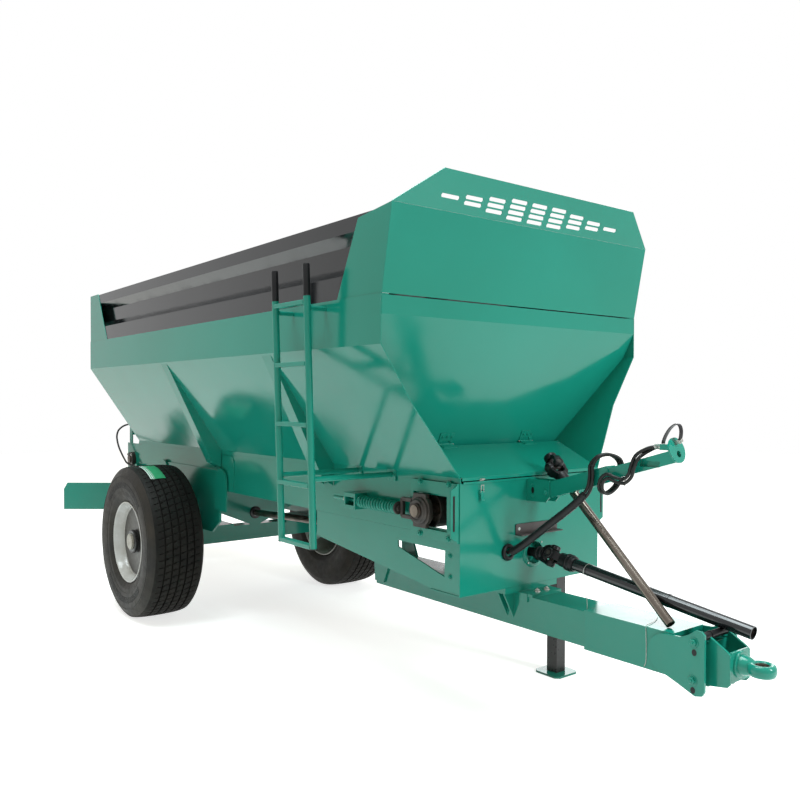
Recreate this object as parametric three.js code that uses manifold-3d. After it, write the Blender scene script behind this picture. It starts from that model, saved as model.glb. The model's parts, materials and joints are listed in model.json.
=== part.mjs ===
// A trailed single-axle manure spreader: a V-shaped hopper over a chain-and-slat floor conveyor, with
// a slide gate and two spinning discs at the rear, a drawbar with a ring hitch and a folding leg.
// Millimetres. X points forward to the hitch, Y to the machine's left, Z up from the ground.
// The pieces are laid out from the wheel axis (X = 0), and the whole is centred on its length at the end.
import * as THREE from 'three';
import { mergeVertices } from 'three/addons/utils/BufferGeometryUtils.js';
import Module from 'manifold-3d';

const wasm = await Module();
wasm.setup();

// ---------------------------------------------------------------- driving dimensions
const RIGHT = -1;
const LEFT = 1;
const SEAM = 0.3; // gap between pieces that touch
const CLEAR = 6; // gap between pieces that move past each other

// wheels and axle
const TYRE_RADIUS = 562;
const TYRE_WIDTH = 422;
const TYRE_BEAD_RADIUS = 289;
const RIM_FLANGE_RADIUS = 297;
const RIM_SHEET = 9;
const WHEEL_CENTRE_Y = 851;
const HUB_RADIUS = 86;
const HUB_CAP_RADIUS = 58;
const SPINDLE_RADIUS = 45;
const AXLE_BEAM = 120;
const AXLE_BEAM_DROP = 15; // beam centre below the wheel axis
const AXLE_BEAM_HALF = 612; // half its length

// hopper
const SHEET = 5;
const HOPPER_REAR_X = -1150;
const HOPPER_FRONT_X = 3027;
const BAND_HALF = 938;
const BAND_TOP = 2111;
const BAND_BOTTOM = 1881;
const HULL_HALF = 518;
const HULL_TOP = 1253;
const HULL_FRONT_X = 3099;
const FRONT_STRIP_BOTTOM = 2018;
const FRONT_KINK_Z = 1597;
const LID_HINGE_X = 2716;
const LID_HINGE_Z = 1395;

// lower hull and frame plates
const WALL = 8;
const HULL_REAR_X = HOPPER_REAR_X - 300;
const FRAME_PLATE_BOTTOM = 681;
const FRAME_PLATE_REAR_X = 1816;
const FRAME_PLATE_REAR_BOTTOM = 808;

// extensions above the band
const EXTENSION_TOP = 2500;
const EXTENSION_SHEET = 4;
const SHIELD_FOLD_Z = 2508;
const SHIELD_FOLD_LEAN = 75;
const SHIELD_TOP_Z = 2676;
const SHIELD_TOP_LEAN = 160;
const SHIELD_TOP_HALF = 697;

// conveyor
const CONVEYOR_HALF = HULL_HALF - 30;
const CONVEYOR_Z = 1075;
const CONVEYOR_FRONT_X = 2840;
const CONVEYOR_REAR_X = HOPPER_REAR_X - 156;
const CHAIN_RADIUS = 84;
const CHAIN_THICK = 8;
const SLAT_HEIGHT = 18;
const SLAT_LENGTH = 40;
const SLAT_PITCH = 262;
const SHAFT_RADIUS = 30;
const CONVEYOR_REACH = CHAIN_RADIUS + CHAIN_THICK + SLAT_HEIGHT;
const HOPPER_FLOOR_Z = CONVEYOR_Z + CONVEYOR_REACH + 3;
const HULL_BOTTOM = CONVEYOR_Z - CONVEYOR_REACH - 7;

// drawbar
const DRAWBAR_HALF = 105;
const DRAWBAR_TOP = 637;
const DRAWBAR_HEIGHT = 166;
const DRAWBAR_WALL = 10;
const DRAWBAR_REAR_X = 1870;
const DRAWBAR_SEAM_X = 3520;
const DRAWBAR_FRONT_X = 3990;
const DRAWBAR_STEP = 9;
const HITCH_EYE_X = 4318;
const HITCH_EYE_Z = 556;
const HITCH_EYE_BORE = 25;
const HITCH_EYE_RADIUS = 56;
const HITCH_EYE_THICK = 42;

// parking leg
const LEG_PIVOT_X = 2752;
const LEG_PIVOT_Y = HULL_HALF + 59;
const LEG_PIVOT_Z = 657;
const LEG_TUBE = 76;
const LEG_FOOT = 190;

// ladder
const LADDER_X = 2412;
const LADDER_PITCH = 310;
const LADDER_TOP_Y = 1048;
const LADDER_BOTTOM_Y = 1006;
const LADDER_TOP_Z = 2290;
const LADDER_BOTTOM_Z = 888;
const RAIL_RADIUS = 18;

// spreading discs
const DISC_X = HULL_REAR_X - 380;
const DISC_Y = HULL_HALF - 118;
const DISC_RADIUS = DISC_Y - 50;
const DISC_THICK = 8;
const VANE_HEIGHT = 62;

// drive line
const DRIVE_Y = -5;
const DRIVE_Z = 842;
const DRIVE_RADIUS = 25;
const AXLE_CENTRE_Z = TYRE_RADIUS - AXLE_BEAM_DROP;
const AXLE_TOP = AXLE_CENTRE_Z + AXLE_BEAM / 2;
const GEARBOX_Z = AXLE_TOP + 3;
const DISC_Z = GEARBOX_Z + 90;

// hoses
const HOSE_RADIUS = 8;
const HOSE_SIDES = 8;

// gate
const GATE_HALF = CONVEYOR_HALF - 48;
const GATE_TRAVEL = 360;
const GATE_BOTTOM = HOPPER_FLOOR_Z + 8;
const GATE_TOP = 1600;

// ---------------------------------------------------------------- finishes
const FINISH = {
  green: { color: 0x1c8a6e, roughness: 0.3, metalness: 0.0 },
  black: { color: 0x1a1c1e, roughness: 0.22, metalness: 0.0 },
  rubber: { color: 0x1d1d1e, roughness: 0.85, metalness: 0.0 },
  white: { color: 0xd9dad6, roughness: 0.4, metalness: 0.0 },
  iron: { color: 0x4a4742, roughness: 0.6, metalness: 0.7 },
  steel: { color: 0x8d8a84, roughness: 0.4, metalness: 0.9 },
  dark: { color: 0x2b2b2b, roughness: 0.5, metalness: 0.2 },
};

// ---------------------------------------------------------------- shape helpers
function frameOf(xAxis, yAxis, zAxis, origin) {
  const frame = new THREE.Matrix4().makeBasis(xAxis, yAxis, zAxis);
  return frame.setPosition(origin);
}

const X = new THREE.Vector3(1, 0, 0);
const Y = new THREE.Vector3(0, 1, 0);
const Z = new THREE.Vector3(0, 0, 1);

// Points as vectors, wound anticlockwise, or clockwise for a hole.
function wound(points, clockwise) {
  const vectors = points.map(([u, v]) => new THREE.Vector2(u, v));
  return THREE.ShapeUtils.isClockWise(vectors) === clockwise ? vectors : vectors.reverse();
}

function outline(points, holes = []) {
  const shape = new THREE.Shape(wound(points, false));
  shape.holes = holes.map((hole) => new THREE.Path(wound(hole, true)));
  return shape;
}

function extrude(shape, depth, curveSegments = 8) {
  return new THREE.ExtrudeGeometry(shape, { depth, bevelEnabled: false, steps: 1, curveSegments });
}

function box(x0, x1, y0, y1, z0, z1) {
  const geometry = new THREE.BoxGeometry(x1 - x0, y1 - y0, z1 - z0);
  return geometry.translate((x0 + x1) / 2, (y0 + y1) / 2, (z0 + z1) / 2);
}

// A plate drawn in X and Z, reaching from y0 to y1.
function plateXZ(points, y0, y1, holes = []) {
  const low = Math.min(y0, y1);
  const high = Math.max(y0, y1);
  const geometry = extrude(outline(points, holes), high - low);
  return geometry.applyMatrix4(frameOf(X, Z, Y.clone().negate(), new THREE.Vector3(0, high, 0)));
}

// A plate drawn in Y and Z, reaching from x0 to x1.
function plateYZ(points, x0, x1, holes = []) {
  const geometry = extrude(outline(points, holes), x1 - x0);
  return geometry.applyMatrix4(frameOf(Y, Z, X, new THREE.Vector3(x0, 0, 0)));
}

// A plate drawn in X and Y, reaching from z0 to z1.
function plateXY(points, z0, z1, holes = []) {
  return extrude(outline(points, holes), z1 - z0).translate(0, 0, z0);
}

// A flat sheet with the given corners on its outer face, thickened away from the side "outward" points to.
function sheet(corners, thickness, outward, holes = []) {
  const points = corners.map((corner) => new THREE.Vector3(...corner));
  const along = points[1].clone().sub(points[0]).normalize();
  const across = points[2].clone().sub(points[0]);
  const normal = along.clone().cross(across).normalize();
  if (normal.dot(new THREE.Vector3(...outward)) < 0) normal.negate();
  const side = normal.clone().cross(along);
  const toPlane = (point) => {
    const offset = point.clone().sub(points[0]);
    return [offset.dot(along), offset.dot(side)];
  };
  const holePoints = holes.map((hole) => hole.map((corner) => toPlane(new THREE.Vector3(...corner))));
  const geometry = extrude(outline(points.map(toPlane), holePoints), thickness);
  const origin = points[0].clone().addScaledVector(normal, -thickness);
  return geometry.applyMatrix4(frameOf(along, side, normal, origin));
}

// A round bar between two points.
function bar(from, to, radius, segments = 16) {
  const start = new THREE.Vector3(...from);
  const end = new THREE.Vector3(...to);
  const length = start.distanceTo(end);
  const geometry = new THREE.CylinderGeometry(radius, radius, length, segments);
  const turn = new THREE.Quaternion().setFromUnitVectors(Y, end.clone().sub(start).normalize());
  geometry.applyQuaternion(turn);
  const middle = start.add(end).multiplyScalar(0.5);
  return geometry.translate(middle.x, middle.y, middle.z);
}

// A ring of revolution about the Y axis through (x, z): profile points are [radius, y].
function turned(profile, x, z, segments = 40) {
  return new THREE.LatheGeometry(wound(profile, false), segments).translate(x, 0, z);
}

// A ring of revolution about the vertical through (x, y): profile points are [radius, z].
function turnedUpright(profile, x, y, segments = 40) {
  return new THREE.LatheGeometry(wound(profile, false), segments).rotateX(Math.PI / 2).translate(x, y, 0);
}

function solid(geometry) {
  if (!(geometry instanceof THREE.BufferGeometry)) return geometry;
  const bare = geometry.clone();
  bare.deleteAttribute('normal');
  bare.deleteAttribute('uv');
  const merged = mergeVertices(bare, 1e-4);
  return new wasm.Manifold(
    new wasm.Mesh({
      numProp: 3,
      vertProperties: new Float32Array(merged.attributes.position.array),
      triVerts: new Uint32Array(merged.index.array),
    }),
  );
}

function join(...pieces) {
  return pieces.map(solid).reduce((whole, piece) => whole.add(piece));
}

function cut(whole, ...tools) {
  return tools.map(solid).reduce((rest, tool) => rest.subtract(tool), solid(whole));
}

function geometryOf(shape) {
  if (shape instanceof THREE.BufferGeometry) return shape;
  const mesh = shape.getMesh();
  const geometry = new THREE.BufferGeometry();
  geometry.setAttribute('position', new THREE.BufferAttribute(new Float32Array(mesh.vertProperties), 3));
  geometry.setIndex(new THREE.BufferAttribute(new Uint32Array(mesh.triVerts), 1));
  geometry.computeVertexNormals();
  return geometry;
}

const spreader = new THREE.Group();

function add(name, shape, finish) {
  const mesh = new THREE.Mesh(geometryOf(shape), new THREE.MeshStandardMaterial(FINISH[finish]));
  mesh.name = name;
  spreader.add(mesh);
  return mesh;
}

// Points in Y and Z, or in X and Y by index 1, carried to one side of the machine.
const onSide = (points, side) => points.map(([y, z]) => [side * y, z]);

// A box given by its distances from the middle plane, on one side of the machine.
function sideBox(side, x0, x1, inner, outer, z0, z1) {
  const low = Math.min(side * inner, side * outer);
  const high = Math.max(side * inner, side * outer);
  return box(x0, x1, low, high, z0, z1);
}

const sideName = (side) => (side === RIGHT ? 'right' : 'left');
const SIDES = [RIGHT, LEFT];

// ---------------------------------------------------------------- hopper
const SLOPE_RUN = (BAND_HALF - HULL_HALF) / (BAND_BOTTOM - HULL_TOP);
const SLOPE_ALONG = Math.hypot(1, SLOPE_RUN);
const SLOPE_IN_Y = SHEET * SLOPE_ALONG; // sheet thickness of the sloping side, measured along Y
const FRONT_RUN = (HOPPER_FRONT_X - LID_HINGE_X) / (FRONT_STRIP_BOTTOM - LID_HINGE_Z);

// Outer face of the hopper side at a height.
function sideY(z) {
  if (z >= BAND_BOTTOM) return BAND_HALF;
  if (z <= HULL_TOP) return HULL_HALF;
  return HULL_HALF + (z - HULL_TOP) * SLOPE_RUN;
}

const WALL_OUTER = HULL_HALF - SHEET - SEAM;
const WALL_INNER = WALL_OUTER - WALL;
const WALL_TOP = HULL_TOP - 3;

// Inner face of the hopper side, or of the hull wall below it, at a height, less a seam.
const insideY = (z) => (z < HULL_TOP ? WALL_INNER : sideY(z) - SLOPE_IN_Y) - SEAM;

// Front panel at a height.
const frontX = (z) => HOPPER_FRONT_X - (FRONT_STRIP_BOTTOM - z) * FRONT_RUN;

const BRACE_WIDTH = 100;
const BRACE_DEPTH = 70;
const BRACE_SHEET = 6;
const BRACE_REAR_X = [420, 1900];

function brace(side, rearX) {
  const low = HULL_TOP - 130;
  const outer = [
    [BAND_HALF - 6, BAND_BOTTOM - 9],
    [HULL_HALF, HULL_TOP],
    [HULL_HALF, low],
    [HULL_HALF + BRACE_DEPTH, low + 40],
  ];
  const inner = [
    [BAND_HALF - 24, BAND_BOTTOM - 38],
    [HULL_HALF - 5, HULL_TOP - 10],
    [HULL_HALF - 5, low - 10],
    [HULL_HALF + BRACE_DEPTH - BRACE_SHEET, low + 34],
  ];
  const rib = plateYZ(onSide(outer, side), rearX, rearX + BRACE_WIDTH);
  const hollow = plateYZ(onSide(inner, side), rearX + BRACE_SHEET, rearX + BRACE_WIDTH - BRACE_SHEET);
  return cut(rib, hollow);
}

function hopperSide(side) {
  const y = (value) => side * value;
  const outward = [0, side, 0];
  const band = sheet(
    [
      [HOPPER_REAR_X, y(BAND_HALF), BAND_BOTTOM],
      [HOPPER_FRONT_X, y(BAND_HALF), BAND_BOTTOM],
      [HOPPER_FRONT_X, y(BAND_HALF), BAND_TOP],
      [HOPPER_REAR_X, y(BAND_HALF), BAND_TOP],
    ],
    SHEET,
    outward,
  );
  const slope = sheet(
    [
      [HOPPER_REAR_X, y(BAND_HALF), BAND_BOTTOM],
      [HOPPER_FRONT_X, y(BAND_HALF), BAND_BOTTOM],
      [HOPPER_FRONT_X, y(sideY(FRONT_KINK_Z)), FRONT_KINK_Z],
      [HULL_FRONT_X, y(HULL_HALF), HULL_TOP],
      [HOPPER_REAR_X, y(HULL_HALF), HULL_TOP],
    ],
    SHEET,
    outward,
  );
  const flangeBottom = HULL_TOP - 24;
  const flange = sideBox(
    side,
    HOPPER_REAR_X,
    HULL_FRONT_X,
    HULL_HALF - SHEET,
    HULL_HALF,
    flangeBottom,
    HULL_TOP + 1,
  );
  const topFlange = sideBox(
    side,
    HOPPER_REAR_X,
    HOPPER_FRONT_X,
    BAND_HALF - 45,
    BAND_HALF,
    BAND_TOP - SHEET,
    BAND_TOP,
  );
  const braces = BRACE_REAR_X.map((rearX) => brace(side, rearX));
  return join(band, slope, flange, topFlange, ...braces);
}

for (const side of SIDES) add(`hopper_side_${sideName(side)}`, hopperSide(side), 'green');

// Corners of a panel that fills the hopper between its sides, from one height down to another.
function crossPanel(xAt, heights) {
  const right = heights.map((z) => [xAt(z), -insideY(z), z]);
  const left = heights.map((z) => [xAt(z), insideY(z), z]).reverse();
  return [...right, ...left];
}

const CROSS_HEIGHTS = [BAND_BOTTOM, HULL_TOP, WALL_TOP + 2, HOPPER_FLOOR_Z];

function hopperFront() {
  const top = BAND_TOP - SHEET - SEAM;
  const strip = sheet(crossPanel(() => HOPPER_FRONT_X, [top, FRONT_STRIP_BOTTOM]), SHEET, [1, 0, 0]);
  const heights = [FRONT_STRIP_BOTTOM, ...CROSS_HEIGHTS];
  const slope = sheet(crossPanel(frontX, heights), SHEET, [1, 0, -1]);
  return join(strip, slope);
}

add('hopper_front_panel', hopperFront(), 'green');

// Rear wall with the opening that the conveyor carries its load through, and the gate's guide strips.
const OUTLET_HALF = GATE_HALF - 30;
const OUTLET_TOP = 1560;
const GATE_SHEET = 6;
const GUIDE_SHEET = 5;
const GUIDE_STAND = GATE_SHEET + CLEAR; // guide's grip on the gate, out from the wall
const GUIDE_WIDTH = 14;
const GUIDE_LAP = 26;
const GUIDE_TOP = BAND_TOP - 11;

function hopperRear() {
  const outletBottom = HOPPER_FLOOR_Z + 4;
  const wall = sheet(
    crossPanel(() => HOPPER_REAR_X, [BAND_TOP - SHEET - SEAM, ...CROSS_HEIGHTS]),
    SHEET,
    [-1, 0, 0],
  );
  const outlet = box(
    HOPPER_REAR_X - 20,
    HOPPER_REAR_X + 20,
    -OUTLET_HALF,
    OUTLET_HALF,
    outletBottom - 10,
    OUTLET_TOP,
  );
  const guides = SIDES.flatMap((side) => {
    const root = GATE_HALF + CLEAR;
    const wallX = HOPPER_REAR_X;
    const lapX = wallX - GUIDE_STAND;
    const reach = root + GUIDE_WIDTH;
    return [
      sideBox(side, lapX, wallX + 1, root, reach, GATE_BOTTOM, GUIDE_TOP),
      sideBox(side, lapX - GUIDE_SHEET, lapX, root - GUIDE_LAP, reach, GATE_BOTTOM, GUIDE_TOP),
    ];
  });
  return join(cut(wall, outlet), ...guides);
}

add('hopper_rear_panel', hopperRear(), 'green');

// ---------------------------------------------------------------- extensions above the band
const EXTENSION_FOOT = BAND_TOP + SEAM;
const SHIELD_FRONT_X = HOPPER_FRONT_X + 2;
const SHIELD_HALF = BAND_HALF - 4;
const WING_FOOT_X = 2667;
const WING_HEAD_X = 2843;
const WING_HEAD_Z = 2478;
const REAR_WING_HEAD_X = -948;
const REAR_WING_FOOT_X = -735;

// Front face of the shield at a height below its fold.
function shieldX(z) {
  return SHIELD_FRONT_X + ((z - EXTENSION_FOOT) / (SHIELD_FOLD_Z - EXTENSION_FOOT)) * SHIELD_FOLD_LEAN;
}

function frontShield() {
  const foldX = shieldX(SHIELD_FOLD_Z);
  const face = sheet(
    [
      [SHIELD_FRONT_X, -SHIELD_HALF, EXTENSION_FOOT],
      [SHIELD_FRONT_X, SHIELD_HALF, EXTENSION_FOOT],
      [foldX, SHIELD_HALF, SHIELD_FOLD_Z],
      [foldX, -SHIELD_HALF, SHIELD_FOLD_Z],
    ],
    EXTENSION_SHEET,
    [1, 0, 0],
  );
  const wings = SIDES.map((side) =>
    plateXZ(
      [
        [WING_FOOT_X, EXTENSION_FOOT],
        [SHIELD_FRONT_X, EXTENSION_FOOT],
        [foldX, SHIELD_FOLD_Z],
        [WING_HEAD_X, WING_HEAD_Z],
      ],
      side * (SHIELD_HALF - EXTENSION_SHEET),
      side * SHIELD_HALF,
    ),
  );
  return join(face, ...wings);
}

add('front_shield', frontShield(), 'green');

// Slotted screen above the shield's fold. Its slots stand in columns of one to four.
const SLOT_COLUMNS = [1, 2, 3, 4, 4, 4, 3, 2, 1];
const SLOT_PITCH_Y = 147;
const SLOT_PITCH_Z = 25;
const SLOT_LENGTH = 113;
const SLOT_HEIGHT = 17;
const SLOT_MIDDLE = 0.36;
const SLOT_OFFSET_Y = -28;

function frontScreen() {
  const foldX = shieldX(SHIELD_FOLD_Z);
  const rise = SHIELD_TOP_Z - SHIELD_FOLD_Z;
  const lean = SHIELD_TOP_LEAN - SHIELD_FOLD_LEAN;
  const foot = SHIELD_FOLD_Z + SEAM;
  const corner = (y, up) => [foldX + lean * up, y, foot + rise * up];
  const slots = SLOT_COLUMNS.flatMap((count, column) =>
    Array.from({ length: count }, (unused, row) => {
      const y = SLOT_OFFSET_Y + (column - (SLOT_COLUMNS.length - 1) / 2) * SLOT_PITCH_Y;
      const up = SLOT_MIDDLE + ((row - (count - 1) / 2) * SLOT_PITCH_Z) / rise;
      const half = SLOT_HEIGHT / 2 / rise;
      const end = SLOT_LENGTH / 2;
      const round = SLOT_HEIGHT * 0.3;
      return [
        corner(y - end + round, up - half),
        corner(y + end - round, up - half),
        corner(y + end, up),
        corner(y + end - round, up + half),
        corner(y - end + round, up + half),
        corner(y - end, up),
      ];
    }),
  );
  const corners = [
    corner(-SHIELD_HALF, 0),
    corner(SHIELD_HALF, 0),
    corner(SHIELD_TOP_HALF, 1),
    corner(-SHIELD_TOP_HALF, 1),
  ];
  return sheet(corners, EXTENSION_SHEET, [1, 0, 0], slots);
}

add('front_screen', frontScreen(), 'green');

function rearExtension() {
  const rear = HOPPER_REAR_X - EXTENSION_SHEET;
  const inner = SHIELD_HALF - EXTENSION_SHEET;
  const folded = plateXY(
    [
      [rear, -SHIELD_HALF],
      [REAR_WING_FOOT_X, -SHIELD_HALF],
      [REAR_WING_FOOT_X, -inner],
      [HOPPER_REAR_X, -inner],
      [HOPPER_REAR_X, inner],
      [REAR_WING_FOOT_X, inner],
      [REAR_WING_FOOT_X, SHIELD_HALF],
      [rear, SHIELD_HALF],
    ],
    EXTENSION_FOOT,
    EXTENSION_TOP,
  );
  const offcut = plateXZ(
    [
      [REAR_WING_FOOT_X, EXTENSION_FOOT],
      [REAR_WING_FOOT_X + 10, EXTENSION_FOOT],
      [REAR_WING_FOOT_X + 10, EXTENSION_TOP + 10],
      [REAR_WING_HEAD_X, EXTENSION_TOP + 10],
      [REAR_WING_HEAD_X, EXTENSION_TOP],
    ],
    -BAND_HALF,
    BAND_HALF,
  );
  return cut(folded, offcut);
}

add('rear_extension', rearExtension(), 'green');

// Side extensions: one folded sheet each, with a recess pressed along its length.
const EXTENSION_OUTER = SHIELD_HALF - EXTENSION_SHEET - SEAM;
const EXTENSION_RECESS = 50;
const EXTENSION_END_GAP = 12;

function sideExtension(side) {
  const outer = [
    [EXTENSION_OUTER, EXTENSION_FOOT],
    [EXTENSION_OUTER, 2221],
    [EXTENSION_OUTER - EXTENSION_RECESS, 2268],
    [EXTENSION_OUTER - EXTENSION_RECESS, 2370],
    [EXTENSION_OUTER, 2421],
    [EXTENSION_OUTER, EXTENSION_TOP - 6],
  ];
  const inner = outer.map(([y, z]) => [y - EXTENSION_SHEET, z]).reverse();
  const x0 = HOPPER_REAR_X + EXTENSION_END_GAP;
  const x1 = HOPPER_FRONT_X - EXTENSION_END_GAP;
  const profile = plateYZ(onSide([...outer, ...inner], side), x0, x1);
  const lip = sideBox(
    side,
    x0,
    x1,
    EXTENSION_OUTER - 40,
    EXTENSION_OUTER - EXTENSION_SHEET + 1,
    EXTENSION_TOP - 6 - EXTENSION_SHEET,
    EXTENSION_TOP - 6,
  );
  return join(profile, lip);
}

for (const side of SIDES) add(`side_extension_${sideName(side)}`, sideExtension(side), 'black');

// ---------------------------------------------------------------- lower hull
const TAKEUP_WINDOW = { x0: 2772, x1: 3010, z0: 995, z1: 1155 };
const REAR_SHAFT_BORE = 38;
const WALL_STEP = 30; // drop of the wall's top edge behind the hopper

function round(x, z, radius, count = 20) {
  return Array.from({ length: count }, (unused, i) => {
    const angle = (i / count) * Math.PI * 2;
    return [x + radius * Math.cos(angle), z + radius * Math.sin(angle)];
  });
}

function windowPoints({ x0, x1, z0, z1 }) {
  return [
    [x0, z0],
    [x1, z0],
    [x1, z1],
    [x0, z1],
  ];
}

function hullWall(side) {
  const front = HULL_FRONT_X - SHEET - SEAM;
  return plateXZ(
    [
      [HULL_REAR_X, HULL_BOTTOM],
      [front, HULL_BOTTOM],
      [front, WALL_TOP],
      [HOPPER_REAR_X, WALL_TOP],
      [HOPPER_REAR_X - WALL_STEP, WALL_TOP - WALL_STEP],
      [HULL_REAR_X, WALL_TOP - WALL_STEP],
    ],
    side * WALL_INNER,
    side * WALL_OUTER,
    [windowPoints(TAKEUP_WINDOW), round(CONVEYOR_REAR_X, CONVEYOR_Z, REAR_SHAFT_BORE)],
  );
}

// Hose block on the right wall behind the hopper, and the elbow below it that the rear hose runs to.
const REAR_HOSE_PORT = [HOPPER_REAR_X - 250, 40 - HULL_HALF, 1385];
const REAR_HOSE_ELBOW = [HOPPER_REAR_X, -HULL_HALF - 20, 1025];
const BLOCK_LENGTH = 64;
const ELBOW_LENGTH = 44;

function hoseBlock() {
  const [x, y, z] = REAR_HOSE_PORT;
  const plate = box(x, x + BLOCK_LENGTH, -WALL_OUTER, -WALL_INNER, WALL_TOP - WALL_STEP - 40, z + 15);
  const block = box(x, x + BLOCK_LENGTH, -WALL_INNER - 1, y + 26, z - 90, z + 22);
  return [plate, block];
}

function hoseElbow() {
  const [x, y, z] = REAR_HOSE_ELBOW;
  return box(x, x + ELBOW_LENGTH, y - 18, -WALL_INNER - 1, z - 18, z + 18);
}

add('hull_wall_right', join(hullWall(RIGHT), ...hoseBlock(), hoseElbow()), 'green');
add('hull_wall_left', hullWall(LEFT), 'green');

const FRAME_PLATE_TOP = HULL_BOTTOM - SEAM;
const FRAME_PLATE_KNEE_X = 2882;
const FRAME_WINDOW = [
  [2611, 890],
  [2613, 856],
  [2982, 761],
  [2987, 890],
];

function framePlate(side) {
  const front = HULL_FRONT_X - SHEET - SEAM;
  return plateXZ(
    [
      [FRAME_PLATE_REAR_X, FRAME_PLATE_TOP],
      [FRAME_PLATE_REAR_X, FRAME_PLATE_REAR_BOTTOM],
      [FRAME_PLATE_KNEE_X, FRAME_PLATE_BOTTOM + SHEET + SEAM],
      [front, FRAME_PLATE_BOTTOM + SHEET + SEAM],
      [front, FRAME_PLATE_TOP],
    ],
    side * WALL_INNER,
    side * WALL_OUTER,
    [FRAME_WINDOW],
  );
}

for (const side of SIDES) add(`frame_plate_${sideName(side)}`, framePlate(side), 'green');

// Front box: the face plate and the floor plate under it, open where the drive shaft and hoses pass.
const DRIVE_BORE = 58;
const GROMMET_Y = -196;
const GROMMET_Z = 864;
const GROMMET_RADIUS = 30;
const GROMMET_THICK = 8;
const BOX_FLOOR_REAR_X = 2880;

function frontBox() {
  const half = HULL_HALF;
  const face = plateYZ(
    [
      [-half, FRAME_PLATE_BOTTOM],
      [half, FRAME_PLATE_BOTTOM],
      [half, HULL_TOP - 26],
      [-half, HULL_TOP - 26],
    ],
    HULL_FRONT_X - SHEET,
    HULL_FRONT_X,
    [round(DRIVE_Y, DRIVE_Z, DRIVE_BORE)],
  );
  const grommet = bar(
    [HULL_FRONT_X - 1, GROMMET_Y, GROMMET_Z],
    [HULL_FRONT_X + GROMMET_THICK, GROMMET_Y, GROMMET_Z],
    GROMMET_RADIUS,
    20,
  );
  const lip = box(
    HULL_FRONT_X - 30,
    HULL_FRONT_X,
    -WALL_INNER + CLEAR,
    WALL_INNER - CLEAR,
    HULL_TOP - 26 - SHEET,
    HULL_TOP - 26,
  );
  const floor = box(
    BOX_FLOOR_REAR_X,
    HULL_FRONT_X,
    -half,
    half,
    FRAME_PLATE_BOTTOM,
    FRAME_PLATE_BOTTOM + SHEET,
  );
  return join(face, lip, floor, grommet);
}

add('front_box', frontBox(), 'green');

// ---------------------------------------------------------------- front lid
const LID_SHEET = 4;
const LID_FRONT_X = HULL_FRONT_X + 6;
const LID_FRONT_Z = HULL_TOP + 2;
const LID_LIP = 16;
const HINGE_RADIUS = 7;
const HINGE_OFFSET = HINGE_RADIUS + 3; // hinge pin's centre, square out from the front panel
const HINGE_X = LID_HINGE_X + HINGE_OFFSET / Math.hypot(1, FRONT_RUN);
const HINGE_Z = LID_HINGE_Z - (HINGE_OFFSET * FRONT_RUN) / Math.hypot(1, FRONT_RUN);
const HINGE_PLACES = [-283, 332];
const HINGE_LEAF = 50;
const HINGE_KNUCKLE = 24;

function frontLid() {
  const rearX = HINGE_X + 18;
  const slope = (LID_FRONT_Z - HINGE_Z) / (LID_FRONT_X - HINGE_X);
  const rearZ = HINGE_Z + (rearX - HINGE_X) * slope;
  const rearHalf = insideY(rearZ) - CLEAR;
  const frontHalf = insideY(LID_FRONT_Z) - CLEAR;
  const top = sheet(
    [
      [rearX, -rearHalf, rearZ],
      [rearX, rearHalf, rearZ],
      [LID_FRONT_X, frontHalf, LID_FRONT_Z],
      [LID_FRONT_X, -frontHalf, LID_FRONT_Z],
    ],
    LID_SHEET,
    [0, 0, 1],
  );
  const lip = box(
    LID_FRONT_X - LID_SHEET,
    LID_FRONT_X,
    -frontHalf,
    frontHalf,
    LID_FRONT_Z - LID_LIP,
    LID_FRONT_Z - 1,
  );
  const leafTop = (x) => HINGE_Z + LID_SHEET - 1 + (x - HINGE_X) * slope;
  const leaves = HINGE_PLACES.map((middle) => {
    const corner = (x, reach) => [x, middle + reach, leafTop(x)];
    const leafEnd = rearX + 30;
    const corners = [
      corner(HINGE_X, -HINGE_LEAF),
      corner(HINGE_X, HINGE_LEAF),
      corner(leafEnd, HINGE_LEAF),
      corner(leafEnd, -HINGE_LEAF),
    ];
    return sheet(corners, LID_SHEET, [0, 0, 1]);
  });
  const knuckles = HINGE_PLACES.map((middle) => {
    const from = [HINGE_X, middle - HINGE_KNUCKLE, HINGE_Z];
    const to = [HINGE_X, middle + HINGE_KNUCKLE, HINGE_Z];
    return bar(from, to, HINGE_RADIUS);
  });
  return join(top, lip, ...leaves, ...knuckles);
}

add('front_lid', frontLid(), 'green');

// ---------------------------------------------------------------- conveyor
const CHAIN_INNER = CHAIN_RADIUS;
const CHAIN_OUTER = CHAIN_RADIUS + CHAIN_THICK;

function arc(x, z, radius, from, to, count) {
  return Array.from({ length: count + 1 }, (unused, i) => {
    const angle = from + ((to - from) * i) / count;
    return [x + radius * Math.cos(angle), z + radius * Math.sin(angle)];
  });
}

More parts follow.
